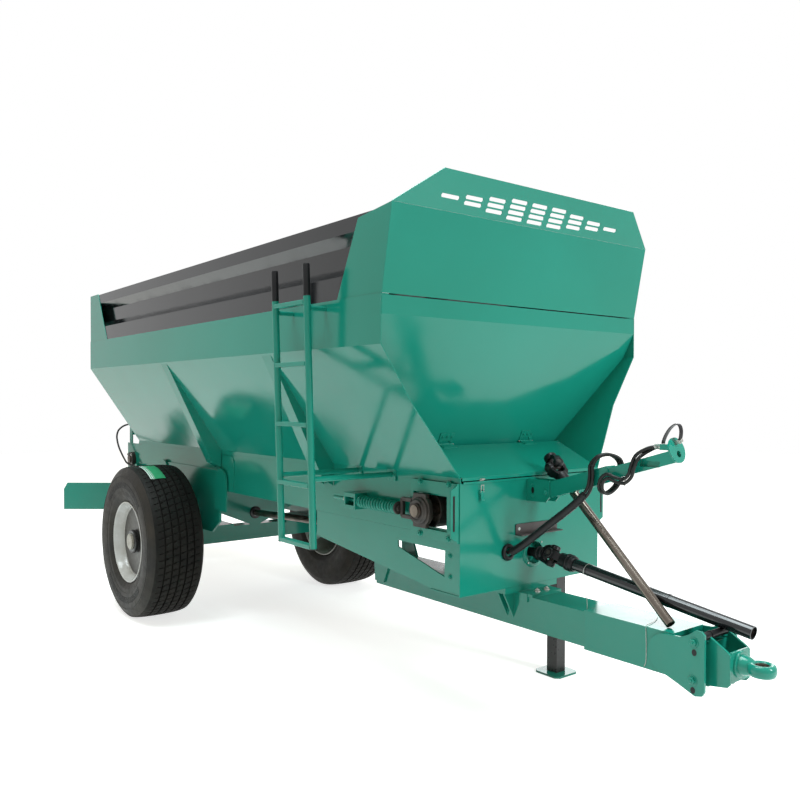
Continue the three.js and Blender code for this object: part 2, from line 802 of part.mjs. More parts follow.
// The chain's outline: round the front shaft, back along the top with its slats, round the rear shaft.
function conveyorChain() {
  const half = Math.PI / 2;
  const span = CONVEYOR_FRONT_X - CONVEYOR_REAR_X;
  const count = Math.floor(span / SLAT_PITCH);
  const first = (span - (count - 1) * SLAT_PITCH) / 2;
  const slats = (direction) =>
    Array.from({ length: count }, (unused, i) => {
      const along = first + i * SLAT_PITCH;
      const x = direction > 0 ? CONVEYOR_FRONT_X - along : CONVEYOR_REAR_X + along;
      const z = CONVEYOR_Z + direction * CHAIN_OUTER;
      const tip = z + direction * SLAT_HEIGHT;
      const reach = (direction * SLAT_LENGTH) / 2;
      return [
        [x + reach, z],
        [x + reach, tip],
        [x - reach, tip],
        [x - reach, z],
      ];
    }).flat();
  const outer = [
    ...arc(CONVEYOR_FRONT_X, CONVEYOR_Z, CHAIN_OUTER, -half, half, 12),
    ...slats(1),
    ...arc(CONVEYOR_REAR_X, CONVEYOR_Z, CHAIN_OUTER, half, 3 * half, 12),
    ...slats(-1),
  ];
  const inner = [
    ...arc(CONVEYOR_FRONT_X, CONVEYOR_Z, CHAIN_INNER, -half, half, 12),
    ...arc(CONVEYOR_REAR_X, CONVEYOR_Z, CHAIN_INNER, half, 3 * half, 12),
  ];
  return plateXZ(outer, -CONVEYOR_HALF, CONVEYOR_HALF, [inner]);
}

add('conveyor_chain', conveyorChain(), 'iron');

const FLOOR_SHEET = 6;
const FLOOR_END_GAP = 110;

function conveyorFloor() {
  const top = CONVEYOR_Z + CHAIN_INNER * Math.cos(Math.PI / 24) - 1;
  const x0 = CONVEYOR_REAR_X + FLOOR_END_GAP;
  const x1 = CONVEYOR_FRONT_X - FLOOR_END_GAP;
  const half = WALL_INNER - SEAM;
  const deck = box(x0, x1, -half + 12, half - 12, top - FLOOR_SHEET, top);
  const ribs = Array.from({ length: 6 }, (unused, i) => {
    const x = x0 + 120 + (i * (x1 - x0 - 240)) / 5;
    return box(x - 30, x + 30, -half, half, top - FLOOR_SHEET - 50, top - FLOOR_SHEET + 1);
  });
  return join(deck, ...ribs);
}

add('conveyor_floor', conveyorFloor(), 'green');

const DRUM_RADIUS = CHAIN_INNER * Math.cos(Math.PI / 24) - 1;
const DRUM_WIDTH = 60;
const DRUM_PLACES = [88 - CONVEYOR_HALF, 0, CONVEYOR_HALF - 88];

function conveyorShaft(x, halfLength) {
  const profile = [[0, -halfLength]];
  profile.push([SHAFT_RADIUS, -halfLength]);
  for (const place of DRUM_PLACES) {
    profile.push([SHAFT_RADIUS, place - DRUM_WIDTH / 2]);
    profile.push([DRUM_RADIUS, place - DRUM_WIDTH / 2]);
    profile.push([DRUM_RADIUS, place + DRUM_WIDTH / 2]);
    profile.push([SHAFT_RADIUS, place + DRUM_WIDTH / 2]);
  }
  profile.push([SHAFT_RADIUS, halfLength]);
  profile.push([0, halfLength]);
  return turned(profile, x, CONVEYOR_Z, 24);
}

const TAKEUP_OUTER_Y = HULL_HALF + 74;
const REAR_BEARING_OUTER_Y = HULL_HALF + 38;
add('conveyor_front_shaft', conveyorShaft(CONVEYOR_FRONT_X, TAKEUP_OUTER_Y), 'steel');
add('conveyor_rear_shaft', conveyorShaft(CONVEYOR_REAR_X, REAR_BEARING_OUTER_Y), 'steel');

// Take-up at each side of the front shaft: guide plate, bearing, and the spring that pulls it forward.
const GUIDE_PLATE = { x0: 2736, x1: HULL_FRONT_X - SHEET - SEAM, z0: 940, z1: HULL_TOP - 26 };
const GUIDE_THICK = 12;
const GUIDE_INNER = HULL_HALF + SEAM;
const GUIDE_FLANGE = 40;

function takeupPlate(side) {
  const { x0, x1, z0, z1 } = GUIDE_PLATE;
  const corner = 16;
  const window = { x0: 2762, x1: 3018, z0: 985, z1: 1165 };
  const plate = plateXZ(
    [
      [x0, z0 + corner],
      [x0 + corner, z0],
      [x1, z0],
      [x1, z1],
      [x0 + corner, z1],
      [x0, z1 - corner],
    ],
    side * WALL_OUTER + side * SEAM,
    side * (GUIDE_INNER + GUIDE_THICK),
    [windowPoints(window)],
  );
  const flange = plateYZ(
    onSide(
      [
        [HULL_HALF + SEAM, z0 + 1],
        [HULL_HALF + GUIDE_THICK + GUIDE_FLANGE, z0 + 30],
        [HULL_HALF + GUIDE_THICK + GUIDE_FLANGE, z1 - 30],
        [HULL_HALF + SEAM, z1 - 1],
      ],
      side,
    ),
    x1 - 8,
    x1,
    [windowPoints({ x0: side * (HULL_HALF + 27), x1: side * (HULL_HALF + 40), z0: 1000, z1: 1170 })],
  );
  return join(plate, flange);
}

for (const side of SIDES) add(`takeup_plate_${sideName(side)}`, takeupPlate(side), 'green');

const TAKEUP_BEARING_RADIUS = 78;
const TAKEUP_BORE_GAP = 1.5;
const SPRING_RADIUS = 34;
const SPRING_Y = HULL_HALF + 38;
const SPRING_REAR_X = 2330;
const SPRING_FRONT_X = 2665;
const SPRING_DROP = 6; // spring's centre below the shaft's
const ANCHOR_REAR_X = 2222;
const ANCHOR_OUTER_Y = HULL_HALF + 76;
const ROD_RADIUS = 11;
const ROD_REAR_X = 2075;

function takeup(side) {
  const inner = side * (GUIDE_INNER + GUIDE_THICK + SEAM);
  const outer = side * (TAKEUP_OUTER_Y - 14);
  const bearing = plateXZ(
    round(CONVEYOR_FRONT_X, CONVEYOR_Z, TAKEUP_BEARING_RADIUS, 28),
    inner,
    outer,
    [round(CONVEYOR_FRONT_X, CONVEYOR_Z, SHAFT_RADIUS + TAKEUP_BORE_GAP, 28)],
  );
  const y = side * SPRING_Y;
  const z = CONVEYOR_Z - SPRING_DROP;
  const spring = bar([SPRING_REAR_X, y, z], [SPRING_FRONT_X, y, z], SPRING_RADIUS, 20);
  const rod = bar([ROD_REAR_X, y, z], [SPRING_REAR_X + 5, y, z], ROD_RADIUS, 12);
  const forkEnd = CONVEYOR_FRONT_X - TAKEUP_BEARING_RADIUS + 8;
  const fork = bar([SPRING_FRONT_X - 5, y, z], [forkEnd, y, z], 2 * ROD_RADIUS, 12);
  const anchorFront = SPRING_REAR_X + 1;
  const anchor = sideBox(side, ANCHOR_REAR_X, anchorFront, WALL_OUTER + SEAM, ANCHOR_OUTER_Y, z - 44, z + 44);
  const pocket = sideBox(
    side,
    ANCHOR_REAR_X + 20,
    SPRING_REAR_X - 30,
    ANCHOR_OUTER_Y - 19,
    ANCHOR_OUTER_Y + 6,
    z - 28,
    z + 28,
  );
  return join(bearing, spring, rod, fork, cut(anchor, pocket));
}

for (const side of SIDES) add(`takeup_${sideName(side)}`, takeup(side), 'green');

// Drive of the rear shaft: a gearbox with its motor on the left, a flanged bearing on the right.
const REAR_BEARING_RADIUS = 65;
const GEARBOX_HALF = 75;
const MOTOR_RADIUS = 52;
const MOTOR_LENGTH = 100;
const GEARBOX_OUTER_Y = REAR_BEARING_OUTER_Y + 44;

function rearDrive() {
  const bore = bar(
    [CONVEYOR_REAR_X, HULL_HALF - 18, CONVEYOR_Z],
    [CONVEYOR_REAR_X, REAR_BEARING_OUTER_Y + TAKEUP_BORE_GAP, CONVEYOR_Z],
    SHAFT_RADIUS + TAKEUP_BORE_GAP,
    24,
  );
  const house = box(
    CONVEYOR_REAR_X - GEARBOX_HALF,
    CONVEYOR_REAR_X + GEARBOX_HALF,
    WALL_OUTER + SEAM,
    GEARBOX_OUTER_Y,
    CONVEYOR_Z - GEARBOX_HALF,
    CONVEYOR_Z + GEARBOX_HALF,
  );
  const motor = bar(
    [CONVEYOR_REAR_X, GEARBOX_OUTER_Y - 1, CONVEYOR_Z],
    [CONVEYOR_REAR_X, GEARBOX_OUTER_Y + MOTOR_LENGTH, CONVEYOR_Z],
    MOTOR_RADIUS,
    20,
  );
  return join(cut(house, bore), motor);
}

add('conveyor_motor', rearDrive(), 'dark');

add(
  'rear_bearing',
  plateXZ(
    round(CONVEYOR_REAR_X, CONVEYOR_Z, REAR_BEARING_RADIUS, 24),
    -(WALL_OUTER + SEAM),
    -(REAR_BEARING_OUTER_Y - 10),
    [round(CONVEYOR_REAR_X, CONVEYOR_Z, SHAFT_RADIUS + TAKEUP_BORE_GAP, 24)],
  ),
  'iron',
);

// ---------------------------------------------------------------- axle
const HUB_INNER_Y = 700;
const BRAKE_RADIUS = 150;
const AXLE_PAD_TOP = AXLE_TOP + 32;
const AXLE_PAD_HALF_X = 150;
const AXLE_PAD_INNER_Y = 236;
const AXLE_PLATE_THICK = 10;
const AXLE_PLATE_HALF_X = 509;
const AXLE_PLATE_KNEE_Z = AXLE_PAD_TOP + 88;
const AXLE_PLATE_TOP = 1104;
const EAR_THICK = 12;
const SADDLE_THICK = 14;
const SADDLE_SLOPE = 0.42;
const DRIVE_BOSS_REAR = 40; // power shaft's boss behind the front face
const DRIVE_FRONT_X = HULL_FRONT_X - DRIVE_BOSS_REAR - CLEAR;
const DRIVE_REAR = [DISC_X + 92, 0, GEARBOX_Z + 6];

// Centre of the drive shaft to the spreading discs, where it passes a plane square to X.
function driveCentre(x) {
  const share = (x - DRIVE_REAR[0]) / (DRIVE_FRONT_X - DRIVE_REAR[0]);
  return [DRIVE_REAR[1] + (DRIVE_Y - DRIVE_REAR[1]) * share, DRIVE_REAR[2] + (DRIVE_Z - DRIVE_REAR[2]) * share];
}

// Brackets that carry the hull on the beam: a side plate, an ear over it and a thin doubler on the wall.
function axleBracket(side) {
  const face = WALL_OUTER + SEAM;
  const reach = AXLE_PLATE_HALF_X;
  const foot = AXLE_PAD_HALF_X + 230;
  const outer = HULL_HALF + AXLE_PLATE_THICK;
  const plate = plateXZ(
    [
      [-foot, AXLE_PAD_TOP - 1],
      [foot, AXLE_PAD_TOP - 1],
      [reach, AXLE_PLATE_KNEE_Z],
      [reach, AXLE_PLATE_TOP - 45],
      [reach - 45, AXLE_PLATE_TOP],
      [-reach + 45, AXLE_PLATE_TOP],
      [-reach, AXLE_PLATE_TOP - 45],
      [-reach, AXLE_PLATE_KNEE_Z],
    ],
    side * face,
    side * outer,
  );
  const earHalf = 93;
  const earTop = 1028;
  const ears = [reach + 34, -reach - 34].map((middle) =>
    plateXZ(
      [
        [middle - earHalf, 812],
        [middle + earHalf, 812],
        ...arc(middle, earTop, earHalf, 0, Math.PI, 10),
      ],
      side * (outer - 1),
      side * (outer + EAR_THICK),
    ),
  );
  const doubler = plateXZ(
    [
      [350, HULL_BOTTOM + 2],
      [717, HULL_BOTTOM + 2],
      [717, 1180],
      [690, 1215],
      [565, 1220],
      [530, 1190],
      [530, 1116],
      [350, 1116],
    ],
    side * face,
    side * (HULL_HALF - 0.5),
  );
  const pad = sideBox(
    side,
    -AXLE_PAD_HALF_X,
    AXLE_PAD_HALF_X,
    AXLE_PAD_INNER_Y,
    AXLE_BEAM_HALF,
    AXLE_TOP - 1,
    AXLE_PAD_TOP,
  );
  return join(plate, ...ears, doubler, pad);
}

function axle() {
  const half = AXLE_BEAM / 2;
  const beam = box(
    -half,
    half,
    -AXLE_BEAM_HALF,
    AXLE_BEAM_HALF,
    AXLE_CENTRE_Z - half,
    AXLE_CENTRE_Z + half,
  );
  const spindles = SIDES.map((side) =>
    bar(
      [0, side * (AXLE_BEAM_HALF - 20), TYRE_RADIUS],
      [0, side * SPINDLE_END_Y, TYRE_RADIUS],
      SPINDLE_RADIUS,
      24,
    ),
  );
  const drums = SIDES.map((side) =>
    bar(
      [0, side * (AXLE_BEAM_HALF - 2), TYRE_RADIUS],
      [0, side * (HUB_INNER_Y - CLEAR), TYRE_RADIUS],
      BRAKE_RADIUS,
      28,
    ),
  );
  // Cross plate between the walls, narrowing to the middle of the beam, with a hole for the drive shaft.
  const top = HULL_BOTTOM - SEAM;
  const foot = 40;
  const edge = WALL_INNER - SEAM;
  const edgeZ = AXLE_TOP + (edge - foot) * SADDLE_SLOPE;
  const cross = plateYZ(
    [
      [-foot, AXLE_TOP - 1],
      [foot, AXLE_TOP - 1],
      [edge, edgeZ],
      [edge, top],
      [-edge, top],
      [-edge, edgeZ],
    ],
    half - SADDLE_THICK,
    half,
    [round(...driveCentre(half - SADDLE_THICK / 2), DRIVE_RADIUS + 2 * CLEAR)],
  );
  return join(beam, ...spindles, ...drums, cross, ...SIDES.map(axleBracket));
}

// ---------------------------------------------------------------- wheels
const TYRE_HALF = TYRE_WIDTH / 2;
const TREAD_HALF = 174;
const RIM_HALF = 172;
const RIM_LIP = 8;
const WHEEL_SEGMENTS = 40;
const RIM_INSET = 111; // disc's outer face, outboard of the wheel's middle
const DISC_PLATE = 14;
const RIM_WELL = 26; // depth of the barrel below the bead seat
const HUB_NECK = HUB_RADIUS - 6;
const HUB_STEP = 18;
const HUB_OUTER_Y = WHEEL_CENTRE_Y + RIM_INSET + 51;
const SPINDLE_END_Y = HUB_OUTER_Y - 60;

// A profile given for the left side, closed and carried to either side.
const turn = (profile, side) => [...profile, profile[0]].map(([radius, y]) => [radius, side * y]);

function tyre(side) {
  const half = [
    [TYRE_BEAD_RADIUS, RIM_HALF - 12],
    [TYRE_BEAD_RADIUS + 16, RIM_HALF - 4],
    [345, 194],
    [400, TYRE_HALF - 3],
    [448, TYRE_HALF],
    [496, TYRE_HALF - 7],
    [TYRE_RADIUS - 36, TYRE_HALF - 19],
    [TYRE_RADIUS - 16, TREAD_HALF + 2],
    [TYRE_RADIUS - 5, TREAD_HALF - 24],
    [TYRE_RADIUS, TREAD_HALF - 62],
  ];
  const outer = [...half, ...half.map(([radius, y]) => [radius, -y]).reverse()];
  const inside = [
    [TYRE_BEAD_RADIUS + 30, -(RIM_HALF - 32)],
    [TYRE_RADIUS - 45, -(TREAD_HALF - 14)],
    [TYRE_RADIUS - 45, TREAD_HALF - 14],
    [TYRE_BEAD_RADIUS + 30, RIM_HALF - 32],
  ];
  const profile = [...outer, ...inside].map(([radius, y]) => [radius, WHEEL_CENTRE_Y - y]);
  return turned(turn(profile, side), 0, TYRE_RADIUS, WHEEL_SEGMENTS);
}

// Welded rim: the barrel that carries the tyre, with the disc near its outer end.
function rim(side) {
  const out = (y) => WHEEL_CENTRE_Y + y;
  const bead = TYRE_BEAD_RADIUS - SEAM;
  const well = bead - RIM_WELL;
  const disc = out(RIM_INSET);
  const profile = [
    [HUB_NECK, disc - DISC_PLATE],
    [well - RIM_SHEET, disc - DISC_PLATE],
    [well - RIM_SHEET, out(-RIM_HALF + 60)],
    [RIM_FLANGE_RADIUS - RIM_SHEET, out(-RIM_HALF - RIM_LIP)],
    [RIM_FLANGE_RADIUS, out(-RIM_HALF - RIM_LIP)],
    [RIM_FLANGE_RADIUS, out(-RIM_HALF)],
    [bead, out(-RIM_HALF + 6)],
    [bead, out(-RIM_HALF + 50)],
    [well, out(-RIM_HALF + 70)],
    [well, out(RIM_HALF - 70)],
    [bead, out(RIM_HALF - 50)],
    [bead, out(RIM_HALF - 6)],
    [RIM_FLANGE_RADIUS, out(RIM_HALF)],
    [RIM_FLANGE_RADIUS, out(RIM_HALF + RIM_LIP)],
    [RIM_FLANGE_RADIUS - RIM_SHEET, out(RIM_HALF + RIM_LIP)],
    [well, disc + 12],
    [well - 22, disc],
    [HUB_NECK, disc],
  ];
  return turned(turn(profile, side), 0, TYRE_RADIUS, WHEEL_SEGMENTS);
}

// Hub: a body behind the disc, the neck through it, and a cap that closes the spindle's end.
function hub(side) {
  const disc = WHEEL_CENTRE_Y + RIM_INSET;
  const bore = SPINDLE_RADIUS + 1.5;
  const neck = HUB_NECK - SEAM;
  const profile = [
    [bore, HUB_INNER_Y],
    [BRAKE_RADIUS - 10, HUB_INNER_Y],
    [BRAKE_RADIUS - 10, HUB_INNER_Y + 60],
    [HUB_RADIUS + 24, disc - DISC_PLATE - 40],
    [HUB_RADIUS + 24, disc - DISC_PLATE - SEAM],
    [neck, disc - DISC_PLATE - SEAM],
    [neck, HUB_OUTER_Y - HUB_STEP],
    [HUB_CAP_RADIUS, HUB_OUTER_Y - HUB_STEP],
    [HUB_CAP_RADIUS, HUB_OUTER_Y],
    [0, HUB_OUTER_Y],
    [0, HUB_OUTER_Y - 12],
    [bore, HUB_OUTER_Y - 12],
  ];
  return turned(turn(profile, side), 0, TYRE_RADIUS, WHEEL_SEGMENTS / 2);
}

add('axle', axle(), 'green');

for (const side of SIDES) {
  add(`tyre_${sideName(side)}`, tyre(side), 'rubber');
  add(`rim_${sideName(side)}`, rim(side), 'white');
  add(`hub_${sideName(side)}`, hub(side), 'dark');
}

// ---------------------------------------------------------------- drawbar and hitch
const DRAWBAR_BOTTOM = DRAWBAR_TOP - DRAWBAR_HEIGHT;

function squareTube(x0, x1, half, z0, z1, wall) {
  const outer = [
    [-half, z0],
    [half, z0],
    [half, z1],
    [-half, z1],
  ];
  const inner = [
    [-half + wall, z0 + wall],
    [half - wall, z0 + wall],
    [half - wall, z1 - wall],
    [-half + wall, z1 - wall],
  ];
  return plateYZ(outer, x0, x1, [inner]);
}

// Saddle plate that ties the drawbar to the floor of the front box, with its gussets and the tongue ahead.
const SADDLE_REAR_X = 2905;
const SADDLE_RIGHT = -209;
const SADDLE_LEFT = 178;
const SADDLE_GUSSETS = [3005, 3050];
const TONGUE_FRONT_X = 3190;
const TONGUE_THICK = 14;

function saddle() {
  const top = FRAME_PLATE_BOTTOM - SEAM;
  const riser = DRAWBAR_TOP + TONGUE_THICK;
  const plate = box(SADDLE_REAR_X, HULL_FRONT_X, SADDLE_RIGHT, SADDLE_LEFT, riser, top);
  const tongue = box(
    SADDLE_REAR_X,
    TONGUE_FRONT_X,
    -DRAWBAR_HALF - 4,
    DRAWBAR_HALF + 4,
    DRAWBAR_TOP - 1,
    riser + 1,
  );
  const hook = box(HULL_FRONT_X + 4, HULL_FRONT_X + 59, -DRAWBAR_HALF - 8, 1 - DRAWBAR_HALF, 609, riser);
  const gussets = SADDLE_GUSSETS.flatMap((x) =>
    SIDES.map((side) =>
      plateYZ(
        onSide(
          [
            [DRAWBAR_HALF - 1, riser + 1],
            [SADDLE_LEFT - 4, riser + 1],
            [SADDLE_LEFT - 4, DRAWBAR_TOP],
            [DRAWBAR_HALF - 1, DRAWBAR_TOP - 130],
          ],
          side,
        ),
        x,
        x + 10,
      ),
    ),
  );
  return [plate, tongue, hook, ...gussets];
}

// Cross member at the drawbar's rear end, hung between the frame plates.
const CROSS_X = 1900;
const CROSS_HALF_X = 45;
const CROSS_Z0 = 820;
const CROSS_Z1 = 910;

function crossMember() {
  const reach = WALL_INNER - SEAM;
  const beam = box(CROSS_X - CROSS_HALF_X, CROSS_X + CROSS_HALF_X, -reach, reach, CROSS_Z0, CROSS_Z1);
  const hangers = SIDES.map((side) =>
    plateXZ(
      [
        [CROSS_X - 30, DRAWBAR_BOTTOM + 20],
        [CROSS_X + 60, DRAWBAR_BOTTOM + 20],
        [CROSS_X + 120, DRAWBAR_TOP - 10],
        [CROSS_X + 30, CROSS_Z0 + 1],
        [CROSS_X - 40, CROSS_Z0 + 1],
        [CROSS_X - 40, DRAWBAR_TOP],
      ],
      side * (DRAWBAR_HALF - 1),
      side * (DRAWBAR_HALF + 12),
    ),
  );
  return [beam, ...hangers];
}

function drawbar() {
  const rear = squareTube(
    DRAWBAR_REAR_X,
    DRAWBAR_SEAM_X + 2,
    DRAWBAR_HALF,
    DRAWBAR_BOTTOM,
    DRAWBAR_TOP,
    DRAWBAR_WALL,
  );
  const front = squareTube(
    DRAWBAR_SEAM_X,
    DRAWBAR_FRONT_X,
    DRAWBAR_HALF + DRAWBAR_STEP,
    DRAWBAR_BOTTOM - DRAWBAR_STEP,
    DRAWBAR_TOP + DRAWBAR_STEP,
    DRAWBAR_WALL + DRAWBAR_STEP + 1,
  );
  return join(rear, front, ...saddle(), ...crossMember());
}

add('drawbar', drawbar(), 'green');

// Nose of the drawbar: cheek plates, a cross tube over them and the end plate for the hitch.
const NOSE_REAR_X = 3870;
const NOSE_FRONT_X = 4142;
const CHEEK = 12;
const CHEEK_INNER = DRAWBAR_HALF + DRAWBAR_STEP + SEAM;
const NOSE_HOLE = 13;
const NOSE_HOLES = [
  [4094, 636],
  [4089, 479],
];

function drawbarNose() {
  const middle = (DRAWBAR_TOP + DRAWBAR_BOTTOM) / 2;
  const cheeks = SIDES.map((side) =>
    plateXZ(
      [
        ...arc(NOSE_REAR_X + 90, middle, 86, Math.PI / 2, (3 * Math.PI) / 2, 10),
        [4020, 446],
        [4100, 414],
        [4132, 422],
        [NOSE_FRONT_X, 440],
        [NOSE_FRONT_X, 672],
        [4128, 686],
        [4100, 686],
        [4070, 662],
        [4030, 644],
      ],
      side * CHEEK_INNER,
      side * (CHEEK_INNER + CHEEK),
      NOSE_HOLES.map(([x, z]) => round(x, z, NOSE_HOLE, 12)),
    ),
  );
  const plate = box(
    NOSE_FRONT_X - 52,
    NOSE_FRONT_X - 32,
    -CHEEK_INNER - 1,
    CHEEK_INNER + 1,
    DRAWBAR_BOTTOM + 4,
    DRAWBAR_TOP + 14,
  );
  return join(...cheeks, plate);
}

add('drawbar_nose', drawbarNose(), 'green');

function hitch() {
  const rear = NOSE_FRONT_X - 32 + SEAM;
  const plate = box(rear, rear + 22, -78, 78, 452, 632);
  const collar = bar([rear + 20, 0, HITCH_EYE_Z], [HITCH_EYE_X - 74, 0, HITCH_EYE_Z], 44, 24);
  const shank = bar([HITCH_EYE_X - 80, 0, HITCH_EYE_Z], [HITCH_EYE_X - 40, 0, HITCH_EYE_Z], 27, 20);
  const half = HITCH_EYE_THICK / 2;
  const eye = turnedUpright(
    [
      [HITCH_EYE_BORE, HITCH_EYE_Z - half],
      [HITCH_EYE_RADIUS - 12, HITCH_EYE_Z - half],
      [HITCH_EYE_RADIUS, HITCH_EYE_Z - half + 12],
      [HITCH_EYE_RADIUS, HITCH_EYE_Z + half - 12],
      [HITCH_EYE_RADIUS - 12, HITCH_EYE_Z + half],
      [HITCH_EYE_BORE, HITCH_EYE_Z + half],
      [HITCH_EYE_BORE, HITCH_EYE_Z - half],
    ],
    HITCH_EYE_X,
    0,
    32,
  );
  const gussets = SIDES.map((side) =>
    plateXZ(
      [
        [rear + 20, 470],
        [rear + 96, 505],
        [rear + 96, 590],
        [rear + 20, 618],
      ],
      side * 46,
      side * 58,
    ),
  );
  const tie = box(rear + 60, rear + 72, -47, 47, 512, 588);
  return join(plate, collar, shank, eye, ...gussets, tie);
}

add('hitch', hitch(), 'green');

// ---------------------------------------------------------------- parking leg
const LEG_SIDE_GAP = CLEAR;
const LEG_PIN = 14;
const LEG_WALL = 6;

function legBracket() {
  const inner = LEG_PIVOT_Y - LEG_TUBE / 2 - LEG_SIDE_GAP;
  const outer = LEG_PIVOT_Y + LEG_TUBE / 2 + LEG_SIDE_GAP;
  const ear = [
    [LEG_PIVOT_X - 62, LEG_PIVOT_Z - 40],
    [LEG_PIVOT_X + 40, LEG_PIVOT_Z - 40],
    [LEG_PIVOT_X + 62, LEG_PIVOT_Z - 10],
    [LEG_PIVOT_X + 62, LEG_PIVOT_Z + 190],
    [LEG_PIVOT_X - 62, LEG_PIVOT_Z + 190],
  ];
  const plates = [
    plateXZ(ear, WALL_OUTER + SEAM, inner),
    plateXZ(ear, outer, outer + 10),
  ];
  const web = box(
    LEG_PIVOT_X - 62,
    LEG_PIVOT_X + 62,
    inner - 1,
    outer + 1,
    LEG_PIVOT_Z + 120,
    LEG_PIVOT_Z + 132,
  );
  const bore = bar(
    [LEG_PIVOT_X, WALL_OUTER - 20, LEG_PIVOT_Z],
    [LEG_PIVOT_X, outer + 40, LEG_PIVOT_Z],
    LEG_PIN + 1,
    20,
  );
  return cut(join(...plates, web), bore);
}

add('parking_leg_bracket', legBracket(), 'green');

function parkingLeg() {
  const half = LEG_TUBE / 2;
  const tube = [
    [LEG_PIVOT_X - half, LEG_PIVOT_Y - half],
    [LEG_PIVOT_X + half, LEG_PIVOT_Y - half],
    [LEG_PIVOT_X + half, LEG_PIVOT_Y + half],
    [LEG_PIVOT_X - half, LEG_PIVOT_Y + half],
  ];
  const bore = [
    [LEG_PIVOT_X - half + LEG_WALL, LEG_PIVOT_Y - half + LEG_WALL],
    [LEG_PIVOT_X + half - LEG_WALL, LEG_PIVOT_Y - half + LEG_WALL],
    [LEG_PIVOT_X + half - LEG_WALL, LEG_PIVOT_Y + half - LEG_WALL],
    [LEG_PIVOT_X - half + LEG_WALL, LEG_PIVOT_Y + half - LEG_WALL],
  ];
  const shell = plateXY(tube, 10, LEG_PIVOT_Z + 44, [bore]);
  const pin = bar(
    [LEG_PIVOT_X, LEG_PIVOT_Y - half - LEG_SIDE_GAP - 14, LEG_PIVOT_Z],
    [LEG_PIVOT_X, LEG_PIVOT_Y + half + LEG_SIDE_GAP + 22, LEG_PIVOT_Z],
    LEG_PIN,
    20,
  );
  const reach = LEG_FOOT / 2;
  const corner = 24;
  const foot = plateXY(
    [
      [LEG_PIVOT_X - reach + corner, LEG_PIVOT_Y - reach],
      [LEG_PIVOT_X + reach - corner, LEG_PIVOT_Y - reach],
      [LEG_PIVOT_X + reach, LEG_PIVOT_Y - reach + corner],
      [LEG_PIVOT_X + reach, LEG_PIVOT_Y + reach - corner],
      [LEG_PIVOT_X + reach - corner, LEG_PIVOT_Y + reach],
      [LEG_PIVOT_X - reach + corner, LEG_PIVOT_Y + reach],
      [LEG_PIVOT_X - reach, LEG_PIVOT_Y + reach - corner],
      [LEG_PIVOT_X - reach, LEG_PIVOT_Y - reach + corner],
    ],
    0,
    12,
  );
  return join(shell, pin, foot);
}

add('parking_leg', parkingLeg(), 'dark');

// ---------------------------------------------------------------- ladder
const RUNG_COUNT = 5;
const RUNG_TOP_Z = 2105;
const STRUT_Z = 1234;
const STANDOFF_Z = 2075;

const ladderY = (z) => {
  const share = (z - LADDER_BOTTOM_Z) / (LADDER_TOP_Z - LADDER_BOTTOM_Z);
  return -(LADDER_BOTTOM_Y + (LADDER_TOP_Y - LADDER_BOTTOM_Y) * share);
};

function ladder() {
  const rails = [-1, 1].flatMap((end) => {
    const x = LADDER_X + (end * LADDER_PITCH) / 2;
    const at = (z) => [x, ladderY(z), z];
    return [
      bar(at(LADDER_BOTTOM_Z), at(LADDER_TOP_Z), RAIL_RADIUS, 14),
      bar(at(STANDOFF_Z), [x, -(BAND_HALF + SEAM), STANDOFF_Z], 12, 10),
      bar(at(STRUT_Z), [x, -(HULL_HALF + SEAM), STRUT_Z], 14, 10),
    ];
  });
  const pitch = (RUNG_TOP_Z - LADDER_BOTTOM_Z - 12) / (RUNG_COUNT - 1);
  const rungs = Array.from({ length: RUNG_COUNT }, (unused, i) => {
    const z = RUNG_TOP_Z - i * pitch;
    const x = LADDER_PITCH / 2;
    return box(LADDER_X - x, LADDER_X + x, ladderY(z) - 20, ladderY(z) + 20, z - 12, z + 12);
  });
  return join(...rails, ...rungs);
}

add('ladder', ladder(), 'green');

// ---------------------------------------------------------------- hose arm
const ARM_Y = -16;
const ARM_HALF = 32;
const ARM_HALF_HEIGHT = 38;
const ARM_INNER_HEIGHT = 28;
const ARM_ROOT = [HULL_FRONT_X + 30, 1146];
const ARM_TIP = [3939, 1388];
const ARM_SHARE = 0.582; // length of the outer tube as a share of the arm's
const ARM_DISC = { radius: 57, thick: 8, x: 3939, z: 1414 };
const ARM_HOLES = [
  { x: 3944, y: -11, z: 1397, radius: 15 },
  { x: 3932, y: -13, z: 1445, radius: 9 },
];
const ARM_WINDOW = { x0: 3766, x1: 3867, z0: 1334, z1: 1360, depth: 12 };
const BRACKET_THICK = 8;
const BRACKET_Z0 = 1112;
const BRACKET_Z1 = 1226;
const COUPLING_REAR_X = 3868;
const COUPLING_Z = 1425;
const COUPLING_HALF = 13;

